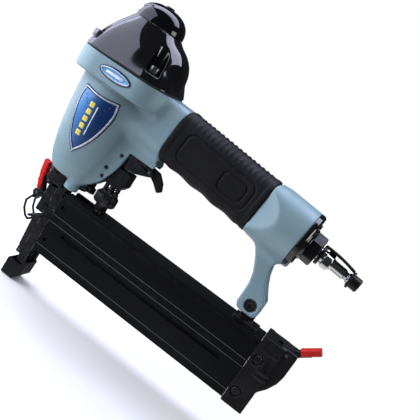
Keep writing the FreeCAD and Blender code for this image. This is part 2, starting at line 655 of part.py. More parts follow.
def make_magazine_body():
    half, wall, nail = d.mag_half, d.mag_half - d.mag_wall, d.nail_half
    top, inside, split = d.mag_top, d.mag_top - 3, d.mag_split + 0.1
    outline = [(-half, split), (-7.8, split), (-7.8, split + 2.4), (-wall, split + 2.4), (-wall, inside),
               (-4, inside), (-4, split + 0.4), (-nail, split + 0.4), (-nail, 78.4), (nail, 78.4), (nail, 74),
               (2, 74), (2, inside), (wall, inside), (wall, 68), (nail, 68), (nail, split + 0.4),
               (4, split + 0.4), (4, 66.6), (wall, 66.6), (wall, split + 2.4), (7.8, split + 2.4),
               (7.8, split), (half, split), (half, top), (-half, top)]
    rail = plate("YZ_Plane", d.mag_front, d.mag_rear, outline)
    opening = block((0, 38.4), (-3.2, 7.4), (78.6, 90))
    front = block((0, 18), (-8.8, -4), (65.6, 78.6))
    catch = block((d.mag_rear - 12, 206.6), (-3, -nail - 0.1), (74, 80))
    holes = side_holes(13.4, 73.1)
    keep(cut(fuse(rail, catch), opening, front, *holes, *groove(64.5, 0, 200), *groove(80, 0, 200)),
         "magazine_body")


def make_magazine_slide():
    half, wall, nail = d.mag_half, d.mag_half - d.mag_wall, d.nail_half
    base, inside, split = d.mag_base, d.mag_base + 3, d.mag_split - 0.1
    hook = split + 2.8
    outline = [(-half, base), (half, base), (half, split), (7.4, split), (7.4, hook), (8.5, hook),
               (8.5, hook + 2), (5.4, hook + 2), (5.4, 58), (4, 58), (4, inside), (nail, inside),
               (nail, inside - 0.5), (-nail, inside - 0.5), (-nail, split), (-4, split), (-4, 58), (-5.4, 58),
               (-5.4, hook + 2), (-8.5, hook + 2), (-8.5, hook), (-7.4, hook), (-7.4, split), (-half, split)]
    rail = plate("YZ_Plane", d.mag_front, d.mag_rear, outline)
    chambers = [block((12, 187), (side * 7.1 - 1.7, side * 7.1 + 1.7), (base + 2.4, 50.4))
                for side in (-1, 1)]
    window = block((24, 172), (-12, -8.8), (52.6, 55.8))
    tongue = block((d.mag_rear - 1, 201), (-4, -nail), (38, 56))
    tongue_hole = rod("y", (d.tail_screw_x, d.tail_screw_low), 1.55, -12, 12)
    lines = groove(58.7, 0, 200) + groove(38.2, 0, 200)
    hollows = [window, tongue_hole, *side_holes(13.5, 44.3), *chambers, *lines]
    keep(cut(fuse(rail, tongue), *hollows), "magazine_slide")


def tail_screw_places():
    return [(d.tail_screw_x, z) for z in (d.tail_screw_low, d.tail_screw_high)]


def make_tail():
    half = d.tail_half
    front, rear = d.mag_rear + 0.1, d.tail_plate_rear
    slab = plate("XZ_Plane", -half, half, [(front, 30.9), (rear, 30.9, 1.5), (rear, 87.8, 1.5), (front, 87.8)])
    nose = plate("XZ_Plane", -9.5, 9.5, [(205, 88.7), (216.7, 88.7, 2), (216.7, 62, 8), (206.8, 48.6),
                                         (205, 48.6)])
    cavity = [block((180, 205), (-3.4, 3.4), (73.5, 82.5)), block((200, 230), (-3.4, 3.4), (74, 110)),
              block((180, 201.5), (-4.1, -0.6), (37.8, 56.2)),
              rod("y", (d.release_x, d.release_z), 1.3, -12, 12)]
    recesses = [rod("y", place, 4, low, low + 2) for place in tail_screw_places()
                for low in (-half, half - 2)]
    shafts = [rod("y", place, 1.55, -14, 14) for place in tail_screw_places()]
    ribs = [block((d.mag_rear, rear + 1), (side * half - 0.4, side * half + 0.4), (z, z + 0.9))
            for z in (60.6, 65.6, 80) for side in (-1, 1)]
    keep(cut(fuse(slab, nose), *cavity, *recesses, *shafts, *ribs), "tail_block")
    keep(group(*[tail_screw(place) for place in tail_screw_places()]), "tail_screws")


def tail_screw(place):
    heads = [rod("y", place, 3, -13, -11.05), rod("y", place, 3, 11.05, 13)]
    return fuse(rod("y", place, 1.5, -12, 12), *heads)


def make_release():
    pivot = (d.release_x, d.release_z)
    lever = plate("XZ_Plane", -3, 3, [(203.4, 80.4), (206, 80.4), (206.6, 81.6), (211.4, 81.6),
                                      (212.2, 84.8), (216.8, 86), (229.7, 97.2, 2), (226.4, 101.4, 2),
                                      (212.6, 89.2), (203.4, 88.2)])
    keep(cut(lever, rod("y", pivot, 1.3, -9, 9)), "magazine_release")
    keep(rod("y", pivot, 1.25, -9.4, 9.4), "release_pin")
    keep(spring(Placement(Vector(214.4, 0, 75.4), Rotation()), 1.5, 0.35, 8, 5), "release_spring")


def make_pusher():
    nail = d.nail_half - 0.1
    front, rear = d.pusher_front, d.pusher_front + 14
    blade = block((front, rear), (-nail, nail), (38, 73.6))
    foot = block((front, rear), (-nail, 3.6), (68.4, 73.6))
    grip = block((front, rear), (2.4, 8.4), (68.4, 78.2))
    keep(fuse(blade, foot, grip), "pusher")
    place = Placement(Vector(rear.value + 0.6, 6.3, 73), TURNS["x"])
    keep(spring(place, 1.6, 0.3, 146, 36), "pusher_spring")


def make_bracket():
    x, z = d.bolt_x, d.bolt_z
    foot = block((163, 183), (-7, 7), (d.mag_top + GAP, 86))
    tab = plate("XZ_Plane", -2.85, 2.85, [(167, 85), (176.8, 85), (176.8, 98.4), (174, 103.4),
                                          (165.2, 103.4), (163.8, 97.4), (165.2, 91.6)])
    keep(cut(fuse(foot, tab), rod("y", (x, z), 2.55, -9, 9)), "magazine_bracket")
    bolt = fuse(rod("y", (x, z), 2.5, -5.05, 11.4), rod("y", (x, z), 4.3, -7.3, -5.05))
    socket = plate("XZ_Plane", -8, -6, polygon(x, z, 1.9, 6))
    keep(cut(bolt, socket), "bracket_bolt")
    nut = plate("XZ_Plane", 7.55, 11, polygon(x, z, 4.4, 6))
    keep(cut(nut, rod("y", (x, z), 2.55, 0, 12)), "bracket_nut")


# ---- Badges ----

def make_badges():
    ellipse = doc.addObject("Part::Ellipse", "oval")
    ellipse.MajorRadius, ellipse.MinorRadius = 13.7, 4.7
    ellipse.Placement = Placement(Vector(5.6, -d.collar_half_width.value - GAP, 179.6),
                                  Rotation(Vector(1, 0, 0), 90))
    badge = doc.addObject("Part::Extrusion", "oval_plate")
    badge.Base = ellipse
    badge.DirMode = "Custom"
    badge.Dir = Vector(0, -1, 0)
    badge.LengthFwd = 0.8
    badge.Solid = True
    keep(badge, "oval_badge")
    ends = [(0, d.waist_top), (0, d.casting_floor)]
    shell = cut(turned(barrel_outline(0.6) + ends), turned(barrel_outline(GAP) + ends))
    shield = plate("XZ_Plane", -40, -5, [(-12.4, 164.2), (2, 162.6), (17, 164.2), (17.8, 152), (14, 136),
                                         (8, 124), (1.5, 115.5), (-5, 124), (-10.4, 136), (-13.2, 152)])
    keep(common(shell, shield), "shield_badge")


# ---- Build, test, write ----

def check_document():
    """Stops on any failed feature or bad shape, because a recompute doesn't raise."""
    for item in doc.Objects:
        if any(word in item.State for word in ("Invalid", "Error")):
            raise RuntimeError("failed feature: {} {}".format(item.Name, item.State))
    for item in parts:
        if item.Shape.isNull() or not item.Shape.isValid():
            raise RuntimeError("bad shape: " + item.Label)


def write_parts():
    os.makedirs("parts", exist_ok=True)
    for item in parts:
        item.Shape.exportStep(os.path.join("parts", item.Label + ".step"))


fill_sheet()
for make in (make_gun_body, make_cylinder, make_head_valve, make_cap, make_deflector, make_grip, make_end_cap,
             make_inlet, make_trigger, make_levers, make_trigger_valve, make_safety_guide, make_contact,
             make_nosepiece, make_latch, make_nose_door, make_magazine_body, make_magazine_slide, make_tail,
             make_release, make_pusher, make_bracket, make_badges):
    make()
    doc.recompute()
check_document()
write_parts()
for item in parts:
    print("{:24s} solids {:2d} volume {:10.1f}".format(item.Label, len(item.Shape.Solids), item.Shape.Volume))
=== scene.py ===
"""The looks of a pneumatic brad nailer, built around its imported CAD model.

Lengths are millimetres in this script and are scaled to metres when a mesh is made. The frame is the CAD's:
+Z up along the firing axis, +X towards the tail, -Y the tool's left side.
Cast, moulded and rubber pieces are distance fields with real fillets, meshed on a fine grid; machined and
pressed pieces are the CAD's own nodes with rounded edges. Every finish is a node material.
"""
import itertools
import json
import math

import bmesh
import bpy
import numpy as np
from mathutils import Matrix, Vector


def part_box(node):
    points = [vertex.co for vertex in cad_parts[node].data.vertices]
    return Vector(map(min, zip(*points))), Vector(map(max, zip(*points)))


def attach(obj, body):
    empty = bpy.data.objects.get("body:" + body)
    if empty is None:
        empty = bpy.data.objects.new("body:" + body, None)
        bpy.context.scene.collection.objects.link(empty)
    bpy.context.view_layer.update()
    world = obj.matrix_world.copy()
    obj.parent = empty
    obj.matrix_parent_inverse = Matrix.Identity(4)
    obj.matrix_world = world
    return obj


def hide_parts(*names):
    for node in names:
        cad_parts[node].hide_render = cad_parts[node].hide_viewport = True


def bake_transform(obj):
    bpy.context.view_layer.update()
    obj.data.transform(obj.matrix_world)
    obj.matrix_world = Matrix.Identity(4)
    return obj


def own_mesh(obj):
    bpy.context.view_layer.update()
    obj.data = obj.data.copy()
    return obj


MM = 0.001
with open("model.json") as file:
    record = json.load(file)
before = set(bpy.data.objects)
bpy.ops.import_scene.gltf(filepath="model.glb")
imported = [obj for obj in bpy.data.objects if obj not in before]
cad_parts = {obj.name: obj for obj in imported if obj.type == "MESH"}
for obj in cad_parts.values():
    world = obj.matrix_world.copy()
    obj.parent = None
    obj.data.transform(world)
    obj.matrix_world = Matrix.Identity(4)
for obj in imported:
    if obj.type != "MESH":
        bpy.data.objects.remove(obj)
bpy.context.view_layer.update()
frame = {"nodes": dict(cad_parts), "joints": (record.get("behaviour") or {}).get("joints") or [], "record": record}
nodes = frame["nodes"]
joints = {joint["name"]: joint for joint in frame["joints"]}


def node_box(name):
    """A CAD node's lowest and highest corners, in millimetres."""
    low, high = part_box(name)
    return np.array(low) / MM, np.array(high) / MM


def pin_axis(name):
    """X and Z of a cross pin's axis."""
    return tuple(sum(node_box(name))[[0, 2]] / 2)


# ---- Sizes read from the frame, and the few that it doesn't give ----

cap_low, cap_high = node_box("cylinder_cap")
deflector_low, deflector_high = node_box("exhaust_deflector")
tail_low, tail_high = node_box("tail_block")

SEAM = node_box("gun_body")[1][2]    # top face of the casting, under the cap gasket
FOOT = node_box("nosepiece")[1][2] + 0.05
COLLAR_FRONT = cap_low[0]
COLLAR_REAR = cap_high[0]
COLLAR_HALF = cap_high[1]
COLLAR_CORNER = 20
COLLAR_BASE = SEAM - 16
HANDLE_DROP = math.radians(5)        # the handle falls away towards the tail
HANDLE_HEIGHT = 171.2                # where the handle's axis meets the firing axis
GRIP_START, GRIP_END = 57, 137       # along the handle's axis
GRIP_HALF_HEIGHT = 21.5
GRIP_HALF_WIDTH = (node_box("rubber_grip")[1][1] - node_box("rubber_grip")[0][1]) / 2
CORE_HALF_HEIGHT, CORE_HALF_WIDTH = 18.4, 13.9
END_RADIUS, END_FACE = 22.6, 172.4
BORE_RADIUS = 19.05                  # inside of the barrel, around the cylinder sleeve
CAP_BASE, CAP_TOP = cap_low[2], cap_high[2]
CAP_SHOULDER = CAP_BASE + 1          # where the cap starts to narrow
CROWN_RADIUS = deflector_high[1]
CROWN_X = (deflector_low[0] + deflector_high[0]) / 2
LOBE_X, LOBE_Z, LOBE_RADIUS = COLLAR_REAR - 24, CAP_BASE + 10.1, 23.2
CAP_BOLTS = ((-26, 22), (23, 22))    # X and the distance to either side
TAIL_PLATE_REAR = 207.2
TAIL_TOP = tail_high[2] - 0.9        # of the plate; the rear bulge is a little higher
ARM_BOLT = pin_axis("bracket_bolt")
tail_screws_low, tail_screws_high = node_box("tail_screws")
TAIL_SCREW_X = (tail_screws_low[0] + tail_screws_high[0]) / 2
TAIL_SCREW_HEAD = 3                  # radius
TAIL_SCREW_LOW = (TAIL_SCREW_X, tail_screws_low[2] + TAIL_SCREW_HEAD)
TAIL_SCREW_HIGH = (TAIL_SCREW_X, tail_screws_high[2] - TAIL_SCREW_HEAD)
RELEASE_PIVOT = pin_axis("release_pin")
LATCH_PIVOT = pin_axis("latch_pin")
TRIGGER_PIVOT = pin_axis("trigger_pin")
GUIDE_PINS = ((24.8, 117.9), (25.2, 110.7))
PIN_HOLE = 1.3                       # radius of the holes that the levers turn on
BARREL = [(15.4, 93), (18.2, 99), (21.5, 107), (24.3, 119), (26.2, 131), (27.6, 144), (28.6, 158), (29, 171)]


# ---- Distance fields ----

def box_field(x, y, z, centre, half, rounding=0.0):
    """A box; the arrays broadcast, so thin grids stay cheap."""
    gaps = [np.abs(value - middle) - size + rounding for value, middle, size in zip((x, y, z), centre, half)]
    outside = np.sqrt(sum(np.maximum(gap, 0) ** 2 for gap in gaps))
    return outside + np.minimum(np.maximum(np.maximum(gaps[0], gaps[1]), gaps[2]), 0) - rounding


def rectangle_field(u, v, low, high, corner):
    """A flat rectangle with round corners, between (u, v) corners."""
    half = [(b - a) / 2 - corner for a, b in zip(low, high)]
    middle = [(a + b) / 2 for a, b in zip(low, high)]
    du, dv = np.abs(u - middle[0]) - half[0], np.abs(v - middle[1]) - half[1]
    return np.hypot(np.maximum(du, 0), np.maximum(dv, 0)) + np.minimum(np.maximum(du, dv), 0) - corner


def polygon_field(u, v, points):
    """Signed distance to a flat polygon, negative inside."""
    nearest = np.full(np.broadcast(u, v).shape, 1e9, np.float32)
    sign = np.ones(nearest.shape, np.float32)
    for (au, av), (bu, bv) in zip(points, points[1:] + points[:1]):
        eu, ev = bu - au, bv - av
        wu, wv = u - au, v - av
        along = np.clip((wu * eu + wv * ev) / (eu * eu + ev * ev), 0, 1)
        nearest = np.minimum(nearest, (wu - eu * along) ** 2 + (wv - ev * along) ** 2)
        above, below, left = v >= av, v < bv, eu * wv > ev * wu
        crossing = (above & below & left) | (~above & ~below & ~left)
        sign = np.where(crossing, -sign, sign)
    return sign * np.sqrt(nearest)


def slab(distance, along, low, high, rounding=0.0):
    """Thickens a flat field between two levels, with rounded rims."""
    across = np.abs(along - (low + high) / 2) - (high - low) / 2 + rounding
    flat = distance + rounding
    outside = np.hypot(np.maximum(flat, 0), np.maximum(across, 0))
    return outside + np.minimum(np.maximum(flat, across), 0) - rounding


def join(first, second, fillet=0.0):
    """The union of two fields, with a fillet where they meet."""
    if fillet == 0:
        return np.minimum(first, second)
    blend = np.maximum(fillet - np.abs(first - second), 0) / fillet
    return np.minimum(first, second) - blend * blend * fillet / 4


def carve(base, tool, edge=0.0):
    """base with tool removed, with a rounded edge."""
    return -join(-base, tool, edge)


def keep_inside(base, limit, edge=0.0):
    return -join(-base, -limit, edge)


def tube_distance(u, v, centre):
    return np.hypot(u - centre[0], v - centre[1])


def handle_frame(x, z):
    """Distance along the handle's axis and height above it."""
    up = z - HANDLE_HEIGHT
    return (x * math.cos(HANDLE_DROP) - up * math.sin(HANDLE_DROP),
            x * math.sin(HANDLE_DROP) + up * math.cos(HANDLE_DROP))


def handle_section(y, n, half_width, half_height, corner):
    """A cross-section of the handle, about its axis."""
    return rectangle_field(y, n, (-half_width, -half_height), (half_width, half_height), corner)


def grid_mesh(field, low, high, step):
    """Corners and quads of a field's zero level: one corner in each crossed cell, pulled onto the surface."""
    low = np.array(low, np.float32)
    axes = [np.arange(a, b + step, step, dtype=np.float32) for a, b in zip(low, high)]
    grid = np.meshgrid(*axes, indexing="ij", sparse=True)
    value = np.broadcast_to(field(*grid), [len(axis) for axis in axes]).astype(np.float32)
    inside = value < 0
    windows = list(itertools.product((0, 1), repeat=3))
    size = np.array(value.shape) - 1
    count = sum(inside[i:i + size[0], j:j + size[1], k:k + size[2]].astype(np.int8) for i, j, k in windows)
    crossed = (count > 0) & (count < 8)
    number = np.full(crossed.shape, -1, np.int32)
    number[crossed] = np.arange(np.count_nonzero(crossed))
    cells = np.argwhere(crossed)
    total, hits = np.zeros((len(cells), 3)), np.zeros((len(cells), 1))
    for axis in range(3):
        others = [k for k in range(3) if k != axis]
        for shift in itertools.product((0, 1), repeat=2):
            start = cells.copy()
            start[:, others] += shift
            end = start.copy()
            end[:, axis] += 1
            first, second = value[tuple(start.T)], value[tuple(end.T)]
            cut = (first < 0) != (second < 0)
            place = start.astype(float)
            place[:, axis] += np.where(cut, first / np.where(cut, first - second, 1), 0)
            total += place * cut[:, None]
            hits += cut[:, None]
    corners = low + step * total / hits
    corners = settle(field, corners, step)
    return corners, grid_faces(inside, number)


def grid_faces(inside, number):
    faces = []
    for axis in range(3):
        b, c = (axis + 1) % 3, (axis + 2) % 3
        start = [slice(None)] * 3
        end = [slice(None)] * 3
        start[axis], end[axis] = slice(0, -1), slice(1, None)
        first, second = inside[tuple(start)], inside[tuple(end)]
        edges = np.argwhere(first != second)
        edges = edges[(edges[:, b] > 0) & (edges[:, c] > 0)]
        edges = edges[(edges[:, b] < number.shape[b]) & (edges[:, c] < number.shape[c])]
        ring = []
        for shift in ((0, 0), (-1, 0), (-1, -1), (0, -1)):
            cell = edges.copy()
            cell[:, b] += shift[0]
            cell[:, c] += shift[1]
            ring.append(number[tuple(cell.T)])
        quads = np.stack(ring, 1)
        outward = first[tuple(edges.T)]
        quads[~outward] = quads[~outward][:, ::-1]
        faces.append(quads)
    return np.concatenate(faces)


def settle(field, corners, step, rounds=3):
    """Newton steps along the field's gradient, each at most a third of a cell."""
    small = step * 0.05
    for _ in range(rounds):
        x, y, z = corners.T
        here = field(x, y, z)
        slope = np.stack([(field(x + small, y, z) - here), (field(x, y + small, z) - here),
                          (field(x, y, z + small) - here)], 1) / small
        steep = np.maximum((slope ** 2).sum(1), 0.25)
        move = slope * (here / steep)[:, None]
        reach = np.maximum(np.linalg.norm(move, axis=1), 1e-9)
        corners = corners - move * np.minimum(1, step / 3 / reach)[:, None]
    return corners


# ---- Making pieces ----

def piece(name, corners, faces, body, slot, replaces=()):
    """A smooth mesh from millimetre corners. It rides on a body, or on none."""
    mesh = bpy.data.meshes.new(name)
    faces = faces.tolist() if isinstance(faces, np.ndarray) else faces
    mesh.from_pydata((np.asarray(corners, float) * MM).tolist(), [], faces)
    mesh.polygons.foreach_set("use_smooth", [True] * len(mesh.polygons))
    item = bpy.data.objects.new(name, mesh)
    bpy.context.scene.collection.objects.link(item)
    dress(item, slot)
    if body:
        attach(item, body)
    if replaces:
        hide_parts(*replaces)
    return item


def field_piece(name, field, node, step, body, slot, replaces=True, grow=(0, 0)):
    """A field meshed within a CAD node's box, which it stands in for or, as an added part, only shares."""
    low, high = node_box(node)
    corners, faces = grid_mesh(field, low - grow[0] - 2 * step, high + grow[1] + 2 * step, step)
    return piece(name, corners, faces, body, slot, [node] if replaces else [])


def dress(item, slot):
    item.data.materials.clear()
    item.data.materials.append(finishes[slot])


def round_edges(item, width):
    """Merges the CAD mesh's split corners, then bevels its sharp edges and evens out the shading."""
    weld = item.modifiers.new("weld", "WELD")
    weld.merge_threshold = 1e-6
    bevel = item.modifiers.new("bevel", "BEVEL")
    bevel.width = width * MM
    bevel.segments = 2
    bevel.limit_method = "ANGLE"
    bevel.angle_limit = math.radians(35)
    bevel.harden_normals = True
    bevel.use_clamp_overlap = True


# ---- Node materials ----

class Tree:
    """A material's node tree, written as nested calls."""

    def __init__(self, name):
        self.material = bpy.data.materials.new(name)
        self.material.use_nodes = True
        self.nodes = self.material.node_tree.nodes
        self.links = self.material.node_tree.links
        self.nodes.clear()
        self.output = self.nodes.new("ShaderNodeOutputMaterial")

    def node(self, kind, settings=None, **inputs):
        """A node with its settings; each input is a value or another node's socket."""
        item = self.nodes.new("ShaderNode" + kind)
        for key, value in (settings or {}).items():
            setattr(item, key, value)
        for key, value in inputs.items():
            key = int(key[1:]) if key[0] == "i" and key[1:].isdigit() else key.replace("_", " ")
            self.set(item.inputs[key], value)
        return item

    def set(self, socket, value):
        if isinstance(value, bpy.types.NodeSocket):
            self.links.new(value, socket)
        elif isinstance(value, (tuple, list)) and len(value) == 3 and socket.type == "RGBA":
            socket.default_value = (*value, 1)
        else:
            socket.default_value = value

    def math(self, operation, first, second=0.0, clamp=False):
        return self.node("Math", {"operation": operation, "use_clamp": clamp}, i0=first, i1=second).outputs[0]

    def mix(self, factor, first, second):
        item = self.node("Mix", {"data_type": "RGBA"}, i0=factor)
        self.set(item.inputs[6], first)
        self.set(item.inputs[7], second)
        return item.outputs[2]

    def remap(self, value, low, high, out_low=0.0, out_high=1.0):
        return self.node("MapRange", {"interpolation_type": "SMOOTHSTEP"}, i0=value, i1=low, i2=high,
                         i3=out_low, i4=out_high).outputs[0]

    def place(self, stretch=(1, 1, 1)):
        """Object coordinates in metres, which stay with the piece as it moves."""
        coordinates = self.node("TexCoord").outputs["Object"]
        return self.node("Mapping", None, Vector=coordinates, Scale=stretch).outputs[0]

    def noise(self, scale, detail=3.0, stretch=(1, 1, 1)):
        return self.node("TexNoise", None, Vector=self.place(stretch), Scale=scale, Detail=detail,
                         Roughness=0.55).outputs["Fac"]

    def cells(self, scale):
        return self.node("TexVoronoi", None, Vector=self.place(), Scale=scale).outputs["Distance"]

    def edges(self, radius):
        """1 on convex and concave edges, 0 on flats."""
        soft = self.node("Bevel", {"samples": 4}, Radius=radius * MM).outputs[0]
        true = self.node("NewGeometry").outputs["Normal"]
        alike = self.node("VectorMath", {"operation": "DOT_PRODUCT"}, i0=soft, i1=true).outputs["Value"]
        return self.remap(alike, 0.99, 0.86)

    def bump(self, height, strength, distance):
        return self.node("Bump", None, Height=height, Strength=strength, Distance=distance * MM).outputs[0]

    def finish(self, **inputs):
        shader = self.node("BsdfPrincipled", None, **inputs)
        self.links.new(shader.outputs[0], self.output.inputs[0])
        return self.material


def edge_wear_and_highlight(tree, colour, edge_tone, radius, amount):
    """The colour lighter along the edges, broken up by noise: rubbed wear, and on black steel also a painted
    highlight.
    """
    patchy = tree.remap(tree.noise(180, 4), 0.42, 0.62)
    mask = tree.math("MULTIPLY", tree.math("MULTIPLY", tree.edges(radius), patchy), amount)
    return tree.mix(mask, colour, edge_tone)


def casting_paint(name):
    """Satin enamel over a cast skin: faint orange peel, slow tint changes and painted shade in the low spots and
    junctions.
    """
    tree = Tree(name)
    tint = tree.remap(tree.noise(26, 3), 0.3, 0.7)
    base = tree.mix(tint, (0.232, 0.352, 0.392), (0.258, 0.384, 0.424))
    speck = tree.remap(tree.cells(900), 0.05, 0.0)
    base = tree.mix(tree.math("MULTIPLY", speck, 0.25), base, (0.12, 0.18, 0.22))
    # Painted shade: ambient occlusion darkens the paint in creases, recesses and where the barrel, web and handle
    # meet.
    painted_crevice_shade = tree.node("AmbientOcclusion", {"samples": 6}, Distance=22 * MM).outputs["AO"]
    base = tree.mix(tree.remap(painted_crevice_shade, 0.45, 0.95), (0.095, 0.135, 0.150), base)
    colour = edge_wear_and_highlight(tree, base, (0.42, 0.56, 0.62), 0.8, 0.55)
    peel = tree.noise(620, 2)
    cast = tree.noise(90, 2)
    height = tree.math("ADD", tree.math("MULTIPLY", peel, 0.4), cast)
    rough = tree.remap(tree.noise(60, 4), 0.3, 0.7, 0.42, 0.54)
    return tree.finish(Base_Color=colour, Metallic=0.2, Roughness=rough, Coat_Weight=0.12,
                       Coat_Roughness=0.25, Normal=tree.bump(height, 0.25, 0.10))


def gloss_black(name, colour, scratches, shine):
    """Black gloss with smudges, a slight ripple and fine scratches."""
    tree = Tree(name)
    smudge = tree.remap(tree.noise(40, 5), 0.4, 0.75)
    rough = tree.math("ADD", tree.math("MULTIPLY", smudge, 0.10), 0.055)
    colour = edge_wear_and_highlight(tree, colour, (0.11, 0.11, 0.115), 0.5, 0.5)
    ripple = tree.noise(55, 2)
    fine = tree.noise(1400, 2, (1, 1, 0.15))
    height = tree.math("ADD", ripple, tree.math("MULTIPLY", fine, scratches))
    return tree.finish(Base_Color=colour, Roughness=rough, Specular_IOR_Level=shine, Coat_Weight=shine,
                       Coat_Roughness=0.05, Normal=tree.bump(height, 0.12, 0.12))


def grip_rubber(name):
    """Moulded rubber: fine stipple, a little bloom where hands don't rub it."""
    tree = Tree(name)
    bloom = tree.remap(tree.noise(35, 5), 0.35, 0.7)
    base = tree.mix(bloom, (0.0045, 0.0045, 0.0055), (0.0085, 0.0085, 0.010))
    colour = edge_wear_and_highlight(tree, base, (0.028, 0.028, 0.03), 1.0, 0.6)
    stipple = tree.cells(1300)
    height = tree.math("ADD", stipple, tree.math("MULTIPLY", tree.noise(240, 3), 0.5))
    rough = tree.remap(tree.noise(90, 3), 0.3, 0.7, 0.50, 0.68)
    return tree.finish(Base_Color=colour, Roughness=rough, Specular_IOR_Level=0.3,
                       Normal=tree.bump(height, 0.35, 0.12))


def plain_finish(name, low, high, patches, grain, rough, edge_tone=None, **more):
    """A colour that varies in patches, (scale, detail, from, to), under a grain, (scale, detail, strength,
    depth), with a roughness, (scale, detail, low, high), and maybe lighter edges of wear and painted highlight,
    (colour, radius, amount)."""
    tree = Tree(name)
    colour = tree.mix(tree.remap(tree.noise(*patches[:2]), *patches[2:]), low, high)
    if edge_tone:
        colour = edge_wear_and_highlight(tree, colour, *edge_tone)
    roughness = tree.remap(tree.noise(*rough[:2]), 0.3, 0.7, *rough[2:])
    return tree.finish(Base_Color=colour, Roughness=roughness,
                       Normal=tree.bump(tree.noise(*grain[:2]), *grain[2:]), **more)


def soft_part(name, low, high, roughness):
    """Seals, the bumper and other moulded soft pieces."""
    return plain_finish(name, low, high, (120, 3, 0.3, 0.7), (900, 2, 0.2, 0.05),
                        (200, 2, roughness, roughness))


# Heights of painted highlight lines that stand in for light caught on the grooves' upper edges.
GROOVE_HIGHLIGHTS = (64.9, 59.1, 38.6)         # upper edges of the long grooves in the magazine


def anodised_black(name):
    """An extrusion: die lines along X under a black anodised skin, bright where an edge has rubbed through,
    and with a painted highlight line along the upper edge of each long groove."""
    tree = Tree(name)
    lines = tree.noise(900, 3, (0.012, 1, 1))
    tint = tree.remap(tree.noise(22, 4, (0.3, 1, 1)), 0.3, 0.7)
    base = tree.mix(tint, (0.0035, 0.0038, 0.0048), (0.0075, 0.0078, 0.0095))
    colour = edge_wear_and_highlight(tree, base, (0.11, 0.115, 0.125), 0.3, 0.8)
    height = tree.node("SeparateXYZ", None, Vector=tree.place()).outputs[2]
    # Painted highlight: a pale line at each groove's upper edge, where light would catch the lip.
    for groove in GROOVE_HIGHLIGHTS:
        offset = tree.math("ABSOLUTE", tree.math("SUBTRACT", height, groove * MM))
        colour = tree.mix(tree.remap(offset, 0.45 * MM, 0.15 * MM, 0, 0.8), colour, (0.16, 0.17, 0.19))
    rough = tree.remap(lines, 0.3, 0.7, 0.30, 0.44)
    return tree.finish(Base_Color=colour, Metallic=0.3, Roughness=rough, Specular_IOR_Level=0.35,
                       Normal=tree.bump(lines, 0.12, 0.04))


def black_steel(name):
    """Blackened pressed and milled steel, with oily patches and bright edges that are partly rubbed wear and
    partly a painted highlight.
    """
    # The pale edge colour over a wide radius is partly wear and partly a painted highlight for light caught along
    # the edges.
    return plain_finish(name, (0.012, 0.012, 0.014), (0.028, 0.028, 0.031), (130, 5, 0.35, 0.7),
                        (800, 3, 0.25, 0.05), (300, 4, 0.24, 0.42), ((0.34, 0.34, 0.35), 0.9, 0.9),
                        Metallic=0.5, Specular_IOR_Level=0.7)


def bare_metal(name, low, high, rough_low, rough_high):
    """Plain or plated metal with fine tool marks."""
    return plain_finish(name, low, high, (110, 4, 0.3, 0.7), (1500, 2, 0.12, 0.03),
                        (160, 4, rough_low, rough_high), Metallic=1.0)


def moulded_plastic(name, low, high, rough_low, rough_high, edge_tone):
    """Injection moulded plastic with spark-eroded grain."""
    return plain_finish(name, low, high, (70, 4, 0.3, 0.7), (1100, 2, 0.3, 0.05),
                        (220, 3, rough_low, rough_high), (edge_tone, 0.4, 0.6), Specular_IOR_Level=0.35)


def badge_blue(name):
    """Printed foil: blue that pales towards the front edge, under clear lacquer."""
    tree = Tree(name)
    across = tree.node("SeparateXYZ", None, Vector=tree.place()).outputs[0]
    fade = tree.remap(across, -0.012, 0.010)
    base = tree.mix(fade, (0.09, 0.29, 0.66), (0.004, 0.035, 0.15))
    foil = tree.noise(400, 2)
    return tree.finish(Base_Color=base, Metallic=0.2, Roughness=0.28, Coat_Weight=0.8, Coat_Roughness=0.08,
                       Normal=tree.bump(foil, 0.08, 0.04))


def foil(name, colour, metallic):
    """A printed or bright line of a badge, under the same lacquer."""
    paler = tuple(min(1, value * 1.15 + 0.01) for value in colour)
    return plain_finish(name, colour, paler, (300, 3, 0.35, 0.65), (500, 2, 0.08, 0.03),
                        (200, 2, 0.22, 0.34), Metallic=metallic, Coat_Weight=0.5, Coat_Roughness=0.1)


